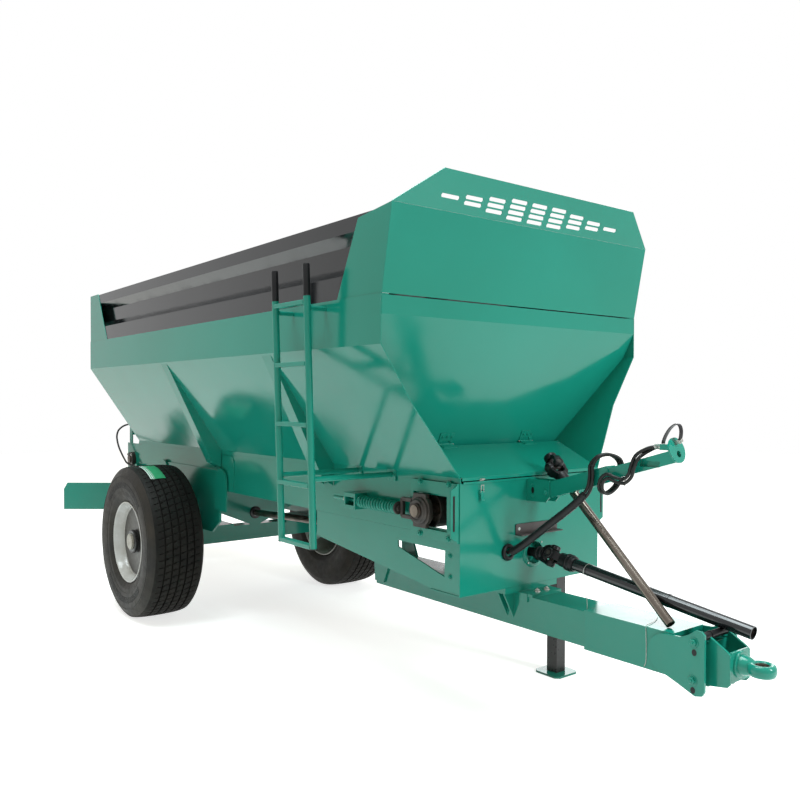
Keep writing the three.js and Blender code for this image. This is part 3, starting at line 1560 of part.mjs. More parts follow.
function hoseArm() {
  const [rootX, rootZ] = ARM_ROOT;
  const [tipX, tipZ] = ARM_TIP;
  const length = Math.hypot(tipX - rootX, tipZ - rootZ);
  const alongX = (tipX - rootX) / length;
  const alongZ = (tipZ - rootZ) / length;
  const at = (along, up) => [rootX + along * alongX - up * alongZ, rootZ + along * alongZ + up * alongX];
  const tube = (from, to, half, side) =>
    plateXZ([at(from, -half), at(to, -half), at(to, half), at(from, half)], ARM_Y - side, ARM_Y + side);
  const outer = tube(0, length * ARM_SHARE, ARM_HALF_HEIGHT, ARM_HALF);
  const inner = tube(length * ARM_SHARE - 1, length, ARM_INNER_HEIGHT, ARM_HALF - 8);
  const disc = bar(
    [ARM_DISC.x - alongX * ARM_DISC.thick, ARM_Y, ARM_DISC.z - alongZ * ARM_DISC.thick],
    [ARM_DISC.x, ARM_Y, ARM_DISC.z],
    ARM_DISC.radius,
    28,
  );
  const holes = ARM_HOLES.map(({ x, y, z, radius }) =>
    bar([x - 20 * alongX, y, z - 20 * alongZ], [x + 20 * alongX, y, z + 20 * alongZ], radius, 16),
  );
  const coupling = box(
    COUPLING_REAR_X,
    ARM_DISC.x - 14,
    ARM_Y - 24,
    ARM_Y + 24,
    COUPLING_Z - COUPLING_HALF,
    COUPLING_Z + COUPLING_HALF,
  );
  const { x0, x1, z0, z1, depth } = ARM_WINDOW;
  const near = ARM_Y - ARM_HALF + 8;
  const window = box(x0, x1, near - 1, near + depth, z0, z1);
  const low = ARM_Y - ARM_HALF - BRACKET_THICK;
  const high = ARM_Y + ARM_HALF + BRACKET_THICK;
  const bracket = box(
    HULL_FRONT_X + SEAM,
    HULL_FRONT_X + BRACKET_THICK,
    low,
    high,
    BRACKET_Z0,
    BRACKET_Z1,
  );
  const ears = [low, high - BRACKET_THICK - 0.5].map((y) =>
    plateXZ(
      [
        [HULL_FRONT_X + 1, BRACKET_Z0],
        [HULL_FRONT_X + 128, BRACKET_Z0 + 4],
        [HULL_FRONT_X + 150, BRACKET_Z0 + 30],
        [HULL_FRONT_X + 150, BRACKET_Z1],
        [HULL_FRONT_X + 1, BRACKET_Z1],
      ],
      y,
      y + BRACKET_THICK + 0.5,
    ),
  );
  return join(cut(join(outer, inner, disc, coupling), window, ...holes), bracket, ...ears);
}

add('hose_arm', hoseArm(), 'green');

// ---------------------------------------------------------------- hoses
const HOSE_GAP = 18; // between the middles of the two front hoses
const FRONT_HOSE_START_X = HULL_FRONT_X + GROMMET_THICK + 3;
const FRONT_HOSE_END_X = COUPLING_REAR_X - 2;
const FRONT_HOSE_STEPS = 32;
const REAR_HOSE_STEPS = 16;

// Each point of the right-hand hose, and the step from it to the left-hand one.
const FRONT_HOSE_ROUTE = [
  [FRONT_HOSE_START_X, GROMMET_Y - 9, GROMMET_Z, 0, HOSE_GAP, 0],
  [3128, GROMMET_Y - 9, GROMMET_Z + 4, 0, HOSE_GAP, 0],
  [3180, -188, 912, 9, 12, -12],
  [3291, -138, 1015, 12, 4, -14],
  [3434, -92, 1140, 12, 4, -14],
  [3494, -72, 1205, 16, 2, -8],
  [3507, -66, 1265, HOSE_GAP, 0, 0],
  [3508, -64, 1320, HOSE_GAP, -2, 0],
  [3532, -44, 1362, 18, -10, 0],
  [3568, -4, 1374, 16, -14, 0],
  [3594, 30, 1344, HOSE_GAP, 0, 5],
  [3592, 44, 1280, HOSE_GAP, 0, -3],
  [3574, 30, 1222, HOSE_GAP, -4, -4],
  [3556, -14, 1192, HOSE_GAP, 0, -2],
  [3558, -60, 1215, HOSE_GAP, 3, -5],
  [3574, -72, 1262, 16, 0, -11],
  [3610, -70, 1288, 4, 0, -19],
  [3655, -68, 1276, -3, 0, -19],
  [3698, -66, 1272, 5, 0, -18],
  [3724, -66, 1294, 16, 0, -10],
  [3738, -66, 1335, HOSE_GAP, -2, -6],
  [3760, -60, 1384, 15, -2, -13],
  [3806, -38, 1416, 2, 18, -8],
  [3840, -27, COUPLING_Z - 1, 0, HOSE_GAP, 0],
  [FRONT_HOSE_END_X, -25, COUPLING_Z, 0, HOSE_GAP, 0],
];

const REAR_HOSE_ROUTE = [
  [REAR_HOSE_PORT[0] - 1.5, REAR_HOSE_PORT[1], REAR_HOSE_PORT[2]],
  [-1440, -481, 1388],
  [-1500, -500, 1383],
  [-1550, -530, 1362],
  [-1582, -556, 1325],
  [-1575, -572, 1278],
  [-1540, -578, 1222],
  [-1490, -580, 1170],
  [-1430, -580, 1124],
  [-1360, -580, 1080],
  [-1290, -578, 1044],
  [-1225, -556, 1028],
  [-1185, -541, 1025],
  [REAR_HOSE_ELBOW[0] - 2, REAR_HOSE_ELBOW[1], REAR_HOSE_ELBOW[2]],
];

function hose(route, steps) {
  const path = new THREE.CatmullRomCurve3(route.map((point) => new THREE.Vector3(...point)));
  path.getUtoTmapping = (share) => share;
  const section = outline(round(0, 0, HOSE_RADIUS, HOSE_SIDES));
  return new THREE.ExtrudeGeometry(section, { steps, bevelEnabled: false, extrudePath: path });
}

const rightHose = FRONT_HOSE_ROUTE.map(([x, y, z]) => [x, y, z]);
const leftHose = FRONT_HOSE_ROUTE.map(([x, y, z, stepX, stepY, stepZ]) => [x + stepX, y + stepY, z + stepZ]);
add('front_hose_right', hose(rightHose, FRONT_HOSE_STEPS), 'dark');
add('front_hose_left', hose(leftHose, FRONT_HOSE_STEPS), 'dark');
add('rear_hose', hose(REAR_HOSE_ROUTE, REAR_HOSE_STEPS), 'dark');

// ---------------------------------------------------------------- power shaft, in two halves
const PTO_RADIUS = 29;

function powerShaftFront() {
  const boss = bar(
    [HULL_FRONT_X - DRIVE_BOSS_REAR, DRIVE_Y, DRIVE_Z],
    [HULL_FRONT_X + 62, DRIVE_Y, DRIVE_Z],
    44,
    20,
  );
  const joint = [HULL_FRONT_X + 150, DRIVE_Y, DRIVE_Z - 4];
  const yokeA = bar([HULL_FRONT_X + 60, DRIVE_Y, DRIVE_Z], joint, 52, 12);
  const yokeB = bar(joint, [HULL_FRONT_X + 270, DRIVE_Y + 4, DRIVE_Z - 22], 50, 12);
  const tube = bar(
    [HULL_FRONT_X + 260, DRIVE_Y + 4, DRIVE_Z - 20],
    [4262, 36, 684],
    PTO_RADIUS,
    16,
  );
  return join(boss, yokeA, yokeB, tube);
}

add('power_shaft_front_half', powerShaftFront(), 'black');

function powerShaftRear() {
  const foot = [3940, -56, DRAWBAR_TOP + DRAWBAR_STEP + 18];
  const head = [3225, 68, 1238];
  const tube = bar(foot, head, 22, 16);
  const yoke = bar(head, [3155, 79, 1297], 42, 12);
  return join(tube, yoke);
}

add('power_shaft_rear_half', powerShaftRear(), 'steel');

// ---------------------------------------------------------------- drive line to the spreading discs
const GEARBOX_HALF_Y = 70;
const GEARBOX_BELOW = 55;

add('drive_shaft', bar([DRIVE_FRONT_X, DRIVE_Y, DRIVE_Z], DRIVE_REAR, DRIVE_RADIUS, 14), 'steel');

function spinnerGearbox() {
  const main = box(
    DISC_X - 80,
    DISC_X + 80,
    -GEARBOX_HALF_Y,
    GEARBOX_HALF_Y,
    GEARBOX_Z - GEARBOX_BELOW,
    GEARBOX_Z + 60,
  );
  const cross = bar([DISC_X, -DISC_Y, GEARBOX_Z], [DISC_X, DISC_Y, GEARBOX_Z], 40, 18);
  const ends = SIDES.map((side) =>
    box(
      DISC_X - 66,
      DISC_X + 66,
      side * DISC_Y - 66,
      side * DISC_Y + 66,
      GEARBOX_Z - 52,
      GEARBOX_Z + 52,
    ),
  );
  return join(main, cross, ...ends);
}

add('spinner_gearbox', spinnerGearbox(), 'dark');

const SPINNER_BEAM_TOP = GEARBOX_Z - GEARBOX_BELOW - SEAM;

const SPINNER_BEAM = 60;
const ARM_PLATE_THICK = 12;
const ARM_PLATE_TOP = CONVEYOR_Z - GEARBOX_HALF - CLEAR;
const ARM_PLATE_FRONT_X = HULL_REAR_X + 270;
const ARM_PLATE_TAIL_X = DISC_X - 70;
const GUARD_GAP = 22; // between a disc's rim and the face of its guard
const GUARD_ANGLE = (38 * Math.PI) / 180;
const GUARD_SHEET = 6;
const GUARD_Z0 = DISC_Z - 98;
const GUARD_Z1 = DISC_Z + 147;
const GUARD_CORNER = [33, 57];

// Where the guard's face meets a plane square to Y.
function guardX(y) {
  const reach = DISC_RADIUS + GUARD_GAP - (y - DISC_Y) * Math.sin(GUARD_ANGLE);
  return DISC_X + reach / Math.cos(GUARD_ANGLE);
}

const GUARD_ROOT_Y = HULL_HALF + ARM_PLATE_THICK;
const GUARD_TIP_Y = HULL_HALF + 462;
const GUARD_ROOT = [guardX(GUARD_ROOT_Y), GUARD_ROOT_Y];
const GUARD_TIP = [guardX(GUARD_TIP_Y), GUARD_TIP_Y];
const ARM_PLATE_REAR_X = GUARD_ROOT[0] + 2;

// Guard beside a disc: an upright plate set at an angle, with its outer top corner cut off.
function discGuard(side) {
  const runX = GUARD_TIP[0] - GUARD_ROOT[0];
  const runY = GUARD_TIP[1] - GUARD_ROOT[1];
  const length = Math.hypot(runX, runY);
  const root = -8;
  const flat = plateXZ(
    [
      [root, GUARD_Z0],
      [length, GUARD_Z0],
      [length, GUARD_Z1 - GUARD_CORNER[1]],
      [length - GUARD_CORNER[0], GUARD_Z1],
      [root, GUARD_Z1],
    ],
    side > 0 ? -GUARD_SHEET : 0,
    side > 0 ? 0 : GUARD_SHEET,
  );
  flat.rotateZ(side * Math.atan2(runY, runX));
  return flat.translate(GUARD_ROOT[0], side * GUARD_ROOT[1], 0);
}

function spinnerFrame() {
  const low = SPINNER_BEAM_TOP - SPINNER_BEAM;
  const beam = box(DISC_X - 50, DISC_X + 50, -HULL_HALF - 2, HULL_HALF + 2, low, SPINNER_BEAM_TOP);
  const arms = SIDES.map((side) =>
    plateXZ(
      [
        [ARM_PLATE_TAIL_X, low],
        [HULL_REAR_X + 50, low],
        [ARM_PLATE_FRONT_X, HULL_BOTTOM - 138],
        [ARM_PLATE_FRONT_X, ARM_PLATE_TOP],
        [ARM_PLATE_REAR_X, ARM_PLATE_TOP],
        [ARM_PLATE_REAR_X, SPINNER_BEAM_TOP + 40],
        [ARM_PLATE_TAIL_X, SPINNER_BEAM_TOP + 40],
      ],
      side * (WALL_OUTER + SEAM),
      side * (HULL_HALF + ARM_PLATE_THICK),
    ),
  );
  return join(beam, ...arms, ...SIDES.map(discGuard));
}

add('spinner_frame', spinnerFrame(), 'green');

// Spreading discs, each with four straight vanes and a hub.
const VANE_COUNT = 4;

function disc(side) {
  const y = side * DISC_Y;
  const plate = bar([DISC_X, y, DISC_Z], [DISC_X, y, DISC_Z + DISC_THICK], DISC_RADIUS, 40);
  const neck = bar([DISC_X, y, GEARBOX_Z + 52 + CLEAR], [DISC_X, y, DISC_Z + 46], 38, 18);
  const vanes = Array.from({ length: VANE_COUNT }, (unused, i) => {
    const vane = box(60, DISC_RADIUS - 6, -4, 4, DISC_Z + DISC_THICK - 1, DISC_Z + VANE_HEIGHT);
    vane.rotateZ(((i + 0.5) * 2 * Math.PI) / VANE_COUNT);
    return vane.translate(DISC_X, y, 0);
  });
  return join(plate, neck, ...vanes);
}

for (const side of SIDES) add(`spreading_disc_${sideName(side)}`, disc(side), 'steel');

// ---------------------------------------------------------------- gate
const CYLINDER_X = HOPPER_REAR_X - 62;
const ROD_STEEL = 14;
const BARREL_OUTER = 34;
const BARREL_INNER = 24;
const BARREL_Z0 = GATE_TOP + 80;
const BARREL_Z1 = BARREL_Z0 + GATE_TRAVEL + 90;
const BARREL_CAP = 20;
const ROD_IN_BARREL = 50;
const LUG_Z0 = GATE_BOTTOM + 60;
const LUG_HEIGHT = 50;
const LUG_HALF = 25;
const CARRIER_Z = [BARREL_Z0 + 30, GUIDE_TOP - 40];
const CARRIER_HEIGHT = 38;

function gate() {
  const plateX = HOPPER_REAR_X - CLEAR / 2;
  const plate = box(plateX - GATE_SHEET, plateX, -GATE_HALF, GATE_HALF, GATE_BOTTOM, GATE_TOP);
  const lug = box(
    CYLINDER_X - ROD_STEEL,
    plateX - GATE_SHEET + 1,
    -LUG_HALF,
    LUG_HALF,
    LUG_Z0,
    LUG_Z0 + LUG_HEIGHT,
  );
  const rod = bar(
    [CYLINDER_X, 0, LUG_Z0 + LUG_HEIGHT / 2],
    [CYLINDER_X, 0, BARREL_Z0 + ROD_IN_BARREL],
    ROD_STEEL - 1,
    16,
  );
  return join(plate, lug, rod);
}

add('gate', gate(), 'green');

// Barrel of the gate's cylinder, carried on two cross beams bolted to the guides.
function gateCylinder() {
  const barrel = turnedUpright(
    [
      [0, BARREL_Z1 - BARREL_CAP],
      [BARREL_INNER, BARREL_Z1 - BARREL_CAP],
      [BARREL_INNER, BARREL_Z0],
      [BARREL_OUTER, BARREL_Z0],
      [BARREL_OUTER, BARREL_Z1],
      [0, BARREL_Z1],
    ],
    CYLINDER_X,
    0,
    20,
  );
  const face = HOPPER_REAR_X - GUIDE_STAND - GUIDE_SHEET - SEAM;
  const half = GATE_HALF + 15;
  const carriers = CARRIER_Z.map((z) =>
    box(CYLINDER_X + BARREL_INNER + 2, face, -half, half, z, z + CARRIER_HEIGHT),
  );
  return join(barrel, ...carriers);
}

add('gate_cylinder', gateCylinder(), 'dark');

// ---------------------------------------------------------------- placing
const FRONT_END = HITCH_EYE_X + HITCH_EYE_RADIUS;
const REAR_END = DISC_X - DISC_RADIUS;
spreader.position.x = -(FRONT_END + REAR_END) / 2;

export default spreader;
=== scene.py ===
"""Looks of a trailed manure spreader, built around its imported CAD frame.

Metres throughout, +X to the hitch, +Y to the machine's left, +Z up. Places are given from the wheel axis.
"""

import json
import math

import bpy
import bmesh
from mathutils import Matrix, Vector


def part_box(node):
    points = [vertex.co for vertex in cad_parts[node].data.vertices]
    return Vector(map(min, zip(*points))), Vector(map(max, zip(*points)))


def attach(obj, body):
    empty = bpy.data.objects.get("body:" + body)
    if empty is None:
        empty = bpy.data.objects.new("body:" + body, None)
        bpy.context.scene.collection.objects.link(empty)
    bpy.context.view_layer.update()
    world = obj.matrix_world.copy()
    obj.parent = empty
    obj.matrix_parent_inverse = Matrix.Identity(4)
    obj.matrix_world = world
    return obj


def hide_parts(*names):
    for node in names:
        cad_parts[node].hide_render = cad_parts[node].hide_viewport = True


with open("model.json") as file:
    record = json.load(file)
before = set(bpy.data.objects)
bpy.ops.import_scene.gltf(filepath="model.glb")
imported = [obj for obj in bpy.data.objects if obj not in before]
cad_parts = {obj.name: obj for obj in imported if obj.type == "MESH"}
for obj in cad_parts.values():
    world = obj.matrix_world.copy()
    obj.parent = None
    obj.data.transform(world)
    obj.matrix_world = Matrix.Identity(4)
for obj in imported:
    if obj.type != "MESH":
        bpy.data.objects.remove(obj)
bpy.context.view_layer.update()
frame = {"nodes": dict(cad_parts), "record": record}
NODES = frame["nodes"]
RIGHT = -1
LEFT = 1
SIDES = {"right": RIGHT, "left": LEFT}
AXLE_X = sum(corner[0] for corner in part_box("tyre_right")) / 2


def at(x, y, z):
    """A point given from the wheel axis, in the row frame."""
    return Vector((x + AXLE_X, y, z))


def new_object(name, data):
    made = bpy.data.objects.new(name, data)
    bpy.context.scene.collection.objects.link(made)
    return made


def on_both_sides(make):
    for name, side in SIDES.items():
        make(name, side)


def circle_steps(count, start=0):
    """Cosine and sine at even steps round a circle, from a start in degrees."""
    turns = [math.radians(start) + 2 * math.pi * k / count for k in range(count)]
    return [(math.cos(turn), math.sin(turn)) for turn in turns]


# ---------------------------------------------------------------- camera
CAMERA_PLACE = (4.8308, -3.0961, 1.6375)
CAMERA_AZIMUTH = math.radians(51.953)
CAMERA_PITCH = math.radians(-1.066)
CAMERA_ROLL = math.radians(0.134)
CAMERA_LENS = 36.085
CAMERA_SHIFT_Y = 0.0159


def make_camera():
    data = bpy.data.cameras.new("camera")
    data.lens = CAMERA_LENS
    data.sensor_width = 36
    data.shift_y = CAMERA_SHIFT_Y
    camera = new_object("camera", data)
    turn = Matrix.Rotation(CAMERA_AZIMUTH, 4, "Z") @ Matrix.Rotation(math.pi / 2 + CAMERA_PITCH, 4, "X")
    turn = turn @ Matrix.Rotation(CAMERA_ROLL, 4, "Z")
    camera.matrix_world = Matrix.Translation(CAMERA_PLACE) @ turn
    bpy.context.scene.camera = camera


make_camera()


# ---------------------------------------------------------------- materials
def new_node(tree, kind, inputs=None, **settings):
    node = tree.nodes.new(kind)
    for key, value in settings.items():
        setattr(node, key, value)
    for key, value in (inputs or {}).items():
        if hasattr(value, "links"):
            tree.links.new(value, node.inputs[key])
        else:
            node.inputs[key].default_value = value
    return node


def noise(tree, where, scale, detail=4.0):
    node = new_node(tree, "ShaderNodeTexNoise", {"Vector": where, "Scale": scale, "Detail": detail})
    return node.outputs["Fac"]


def spread(tree, value, low, high, from_low=0.35, from_high=0.65):
    inputs = {"Value": value, "From Min": from_low, "From Max": from_high, "To Min": low, "To Max": high}
    return new_node(tree, "ShaderNodeMapRange", inputs).outputs["Result"]


def blend_colour(tree, factor, first, second):
    node = new_node(tree, "ShaderNodeMix", {"Factor": factor}, data_type="RGBA")
    for index, colour in ((6, first), (7, second)):
        if hasattr(colour, "links"):
            tree.links.new(colour, node.inputs[index])
        else:
            node.inputs[index].default_value = (*colour, 1)
    return node.outputs[2]


def times(tree, first, second):
    return new_node(tree, "ShaderNodeMath", {0: first, 1: second}, operation="MULTIPLY").outputs[0]


def seen_rays(tree):
    """One for camera, glossy and transmission rays, nought for the light that falls on things."""
    paths = new_node(tree, "ShaderNodeLightPath").outputs
    seen = paths["Is Camera Ray"]
    for kind in ("Is Glossy Ray", "Is Transmission Ray"):
        seen = new_node(tree, "ShaderNodeMath", {0: seen, 1: paths[kind]}, operation="MAXIMUM").outputs[0]
    return seen


def finish(
    name, colour, roughness, second=None, patch_scale=3.0, grain_scale=220.0, grain=0.05, metallic=0.0,
    coat=0.0, dust=0.0, edge=0.0, rough_span=0.06, specular=0.5, stretch=(1, 1, 1)
):
    """A procedural finish: patches of a second colour, uneven gloss, fine grain, and dust low down."""
    material = bpy.data.materials.new(name)
    material.use_nodes = True
    tree = material.node_tree
    shader = tree.nodes["Principled BSDF"]
    coords = new_node(tree, "ShaderNodeTexCoord").outputs["Object"]
    where = new_node(tree, "ShaderNodeMapping", {"Vector": coords, "Scale": stretch}).outputs["Vector"]
    patches = noise(tree, where, patch_scale, 6.0)
    tint = blend_colour(tree, spread(tree, patches, 0, 1), colour, second or tuple(0.86 * c for c in colour))
    if dust:
        height = new_node(tree, "ShaderNodeSeparateXYZ", {"Vector": coords}).outputs["Z"]
        low = spread(tree, height, dust, 0, 0.15, 1.1)
        film = times(tree, low, spread(tree, noise(tree, where, 14.0), 0.2, 1.0))
        tint = blend_colour(tree, film, tint, DUST)
    tree.links.new(tint, shader.inputs["Base Color"])
    uneven = noise(tree, where, patch_scale * 5, 5.0)
    gloss = spread(tree, uneven, roughness - rough_span, roughness + rough_span)
    tree.links.new(gloss, shader.inputs["Roughness"])
    shader.inputs["Metallic"].default_value = metallic
    shader.inputs["Specular IOR Level"].default_value = specular
    shader.inputs["Coat Weight"].default_value = coat
    shader.inputs["Coat Roughness"].default_value = 0.06
    height = noise(tree, where, grain_scale, 3.0)
    bump = new_node(tree, "ShaderNodeBump", {"Height": height, "Strength": grain, "Distance": 0.002})
    if edge:
        rounded = new_node(tree, "ShaderNodeBevel", {"Radius": edge}, samples=4)
        tree.links.new(rounded.outputs["Normal"], bump.inputs["Normal"])
    tree.links.new(bump.outputs["Normal"], shader.inputs["Normal"])
    return material


DUST = (0.2, 0.18, 0.14)
PAINT = (0.008, 0.25, 0.185)
PAINT_DEEP = (0.006, 0.222, 0.16)
GREEN = finish(
    "green_paint", PAINT, 0.14, PAINT_DEEP, 0.9, 160, 0.03, dust=0.04, edge=0.002, rough_span=0.04,
    specular=0.34
)
GREEN_PART = finish("green_part", PAINT, 0.28, PAINT_DEEP, 6.0, 260, 0.06, dust=0.08, specular=0.35)
BLACK = finish(
    "black_paint", (0.006, 0.007, 0.008), 0.12, (0.01, 0.011, 0.013), 1.5, 160, 0.03, edge=0.0015,
    specular=0.5
)
PLASTIC = finish(
    "black_plastic", (0.006, 0.006, 0.007), 0.34, (0.01, 0.01, 0.011), 12.0, 420, 0.12, specular=0.22
)
RUBBER = finish(
    "hose_rubber", (0.007, 0.007, 0.007), 0.42, (0.012, 0.012, 0.011), 20.0, 600, 0.2, specular=0.25
)
TREAD = finish(
    "tyre_rubber", (0.006, 0.0058, 0.0052), 0.62, (0.010, 0.0092, 0.008), 7.0, 300, 0.3, dust=0.04,
    specular=0.14
)
SIDEWALL_RUBBER = finish(
    "sidewall_rubber", (0.023, 0.019, 0.014), 0.56, (0.012, 0.011, 0.010), 5.0, 340, 0.3, dust=0.06,
    specular=0.2
)
BAND_RUBBER = finish(
    "band_rubber", (0.008, 0.0075, 0.007), 0.6, (0.014, 0.012, 0.01), 9.0, 500, 0.5, specular=0.15
)
WHITE = finish("rim_white", (0.62, 0.61, 0.6), 0.22, (0.5, 0.48, 0.45), 8.0, 240, 0.05, dust=0.1)
DISC_GREY = finish("disc_grey", (0.05, 0.047, 0.043), 0.4, (0.07, 0.064, 0.056), 7.0, 260, 0.12)
CREAM = finish("cap_cream", (0.42, 0.4, 0.35), 0.34, (0.3, 0.27, 0.22), 30.0, 300, 0.1)
CAST = finish("cast_iron", (0.05, 0.04, 0.034), 0.5, (0.024, 0.021, 0.019), 18.0, 260, 0.45, metallic=0.3)
STEEL = finish("worn_steel", (0.2, 0.165, 0.135), 0.34, (0.1, 0.08, 0.064), 12.0, 500, 0.12, metallic=0.85)
TUBE_STEEL = finish(
    "tube_steel", (0.16, 0.135, 0.115), 0.26, (0.105, 0.085, 0.068), 2.5, 420, 0.01, metallic=0.85,
    rough_span=0.02
)
ZINC = finish("zinc", (0.5, 0.5, 0.47), 0.32, (0.34, 0.33, 0.3), 60.0, 500, 0.1, metallic=0.85)
CHAIN = finish("chain_steel", (0.07, 0.052, 0.04), 0.55, (0.035, 0.03, 0.026), 22.0, 300, 0.4, metallic=0.6)
PRIMER = finish("brown_primer", (0.05, 0.036, 0.036), 0.45, (0.036, 0.028, 0.027), 14.0, 260, 0.15)
DARK = finish(
    "dark_paint", (0.014, 0.014, 0.015), 0.32, (0.022, 0.021, 0.021), 9.0, 260, 0.12, edge=0.0015,
    specular=0.4
)
LABEL_GREEN = finish("label_green", (0.03, 0.3, 0.13), 0.4, (0.025, 0.26, 0.11), 40.0, 300, 0.03)
LABEL_WHITE = finish("label_white", (0.62, 0.68, 0.66), 0.4, (0.54, 0.6, 0.58), 40.0, 300, 0.03)

NODE_FINISHES = {
    "black_paint": BLACK,
    "tyre": TREAD,
    "white_paint": WHITE,
    "cast_housing": CAST,
    "bare_steel": STEEL,
    "dark_paint": DARK,
    "hose": RUBBER,
    "green_paint": GREEN,
}


def dress_nodes():
    for part in frame["record"]["subparts"]:
        mesh = NODES[part["node"]].data
        mesh.materials.clear()
        mesh.materials.append(NODE_FINISHES[part["material_slot"]])


dress_nodes()


# ---------------------------------------------------------------- shapes
def across(axis):
    """Two unit directions square to an axis and to each other."""
    axis = Vector(axis).normalized()
    helper = Vector((0, 0, 1)) if abs(axis.z) < 0.9 else Vector((1, 0, 0))
    first = axis.cross(helper).normalized()
    return first, axis.cross(first)


class Shape:
    """One piece in the making: its solids gather in a bmesh until it is done."""

    def __init__(self):
        self.mesh = bmesh.new()

    def box(self, low, high):
        corners = [
            Vector((x, y, z)) for x in (low[0], high[0]) for y in (low[1], high[1]) for z in (low[2], high[2])
        ]
        verts = [self.mesh.verts.new(corner) for corner in corners]
        for face in ((0, 1, 3, 2), (4, 6, 7, 5), (0, 4, 5, 1), (2, 3, 7, 6), (0, 2, 6, 4), (1, 5, 7, 3)):
            self.mesh.faces.new([verts[i] for i in face])
        return self

    def prism(self, corners, depth):
        """A flat outline carried along depth."""
        depth = Vector(depth)
        near = [self.mesh.verts.new(Vector(corner)) for corner in corners]
        far = [self.mesh.verts.new(Vector(corner) + depth) for corner in corners]
        count = len(corners)
        self.mesh.faces.new(near)
        self.mesh.faces.new(far[::-1])
        for i in range(count):
            j = (i + 1) % count
            self.mesh.faces.new((near[i], far[i], far[j], near[j]))
        return self

    def turned(self, start, axis, profile, segments=32, ring=False, sweep=None, dent=None):
        """A profile of (distance along the axis, radius) carried round the axis, whole or over a sweep."""
        axis = Vector(axis).normalized()
        first, second = across(axis)
        start = Vector(start)
        low, high = sweep or (0.0, 2 * math.pi)
        count = segments + 1 if sweep else segments
        rows = []
        for k in range(count):
            angle = low + (high - low) * k / segments
            out = first * math.cos(angle) + second * math.sin(angle)
            row = []
            for i, (along, radius) in enumerate(profile):
                drop = dent(i, k) if dent else 0.0
                row.append(self.mesh.verts.new(start + axis * along + out * (radius - drop)))
            rows.append(row)
        steps = len(profile) if ring else len(profile) - 1
        for k in range(segments):
            here, there = rows[k], rows[(k + 1) % count]
            for i in range(steps):
                j = (i + 1) % len(profile)
                self.mesh.faces.new((here[i], here[j], there[j], there[i]))
        if sweep and ring:
            self.mesh.faces.new(rows[0][::-1])
            self.mesh.faces.new(rows[-1])
        return self

    def bar(self, start, end, radius, segments=20, end_radius=None):
        start, end = Vector(start), Vector(end)
        length = (end - start).length
        far = end_radius or radius
        soft = min(radius, far) * 0.12
        profile = [
            (0, 0), (0, radius - soft), (soft, radius), (length - soft, far), (length, far - soft),
            (length, 0)
        ]
        return self.turned(start, end - start, profile, segments)

    def pipe(self, start, end, radius, wall, segments=28):
        start, end = Vector(start), Vector(end)
        length = (end - start).length
        profile = [(0, radius), (length, radius), (length, radius - wall), (0, radius - wall)]
        return self.turned(start, end - start, profile, segments, ring=True)

    def disc(self, start, axis, radius, length, segments):
        """A plain disc, or with six segments a plain nut."""
        return self.turned(start, axis, [(0, 0), (0, radius), (length, radius), (length, 0)], segments)

    def hoop(self, start, axis, inner, outer, length, segments):
        profile = [(0, inner), (0, outer), (length, outer), (length, inner)]
        return self.turned(start, axis, profile, segments, ring=True)

    def wire(self, points, radius, sides=8, closed=False):
        """A round tube along a line of points."""
        points = [Vector(point) for point in points]
        count = len(points)
        rows = []
        side = None
        for k, point in enumerate(points):
            before = points[(k - 1) % count] if closed or k else point
            after = points[(k + 1) % count] if closed or k < count - 1 else point
            along = (after - before).normalized()
            if side is None:
                side = across(along)[0]
            side = (side - along * side.dot(along)).normalized()
            other = along.cross(side)
            angles = [2 * math.pi * i / sides for i in range(sides)]
            ring = [point + (side * math.cos(a) + other * math.sin(a)) * radius for a in angles]
            rows.append([self.mesh.verts.new(place) for place in ring])
        for k in range(count if closed else count - 1):
            here, there = rows[k], rows[(k + 1) % count]
            for i in range(sides):
                j = (i + 1) % sides
                self.mesh.faces.new((here[i], here[j], there[j], there[i]))
        if not closed:
            self.mesh.faces.new(rows[0][::-1])
            self.mesh.faces.new(rows[-1])
        return self

    def bolt(self, place, axis, size=0.018, washer=True):
        """A hexagon head on a washer, its seat at place, size across its corners."""
        axis = Vector(axis).normalized()
        place = Vector(place)
        radius = size / 2
        if washer:
            self.turned(place, axis, [(0, 0), (0, radius * 1.45), (0.0022, radius * 1.4), (0.0022, 0)], 20)
        seat = place + axis * 0.002
        head = size * 0.36
        profile = [(0, 0), (0, radius), (head * 0.8, radius), (head, radius * 0.82), (head, 0)]
        self.turned(seat, axis, profile, 6)
        stub = [(head, 0), (head, radius * 0.42), (head * 1.5, radius * 0.38), (head * 1.5, 0)]
        return self.turned(seat, axis, stub, 10)

    def done(self, name, material, slot, body="root", bevel=0.0, sharp=35, replaces=()):
        bmesh.ops.remove_doubles(self.mesh, verts=self.mesh.verts, dist=1e-6)
        bmesh.ops.dissolve_degenerate(self.mesh, edges=self.mesh.edges, dist=1e-7)
        bmesh.ops.recalc_face_normals(self.mesh, faces=self.mesh.faces)
        mesh = bpy.data.meshes.new(name)
        self.mesh.to_mesh(mesh)
        self.mesh.free()
        mesh.shade_smooth()
        mesh.set_sharp_from_angle(angle=math.radians(sharp))
        mesh.materials.append(material)
        piece = new_object(name, mesh)
        if bevel:
            modifier = piece.modifiers.new("bevel", "BEVEL")
            modifier.width = bevel
            modifier.segments = 2
            modifier.angle_limit = math.radians(50)
            modifier.harden_normals = True
        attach(piece, body)
        if replaces:
            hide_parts(*replaces)
        return piece


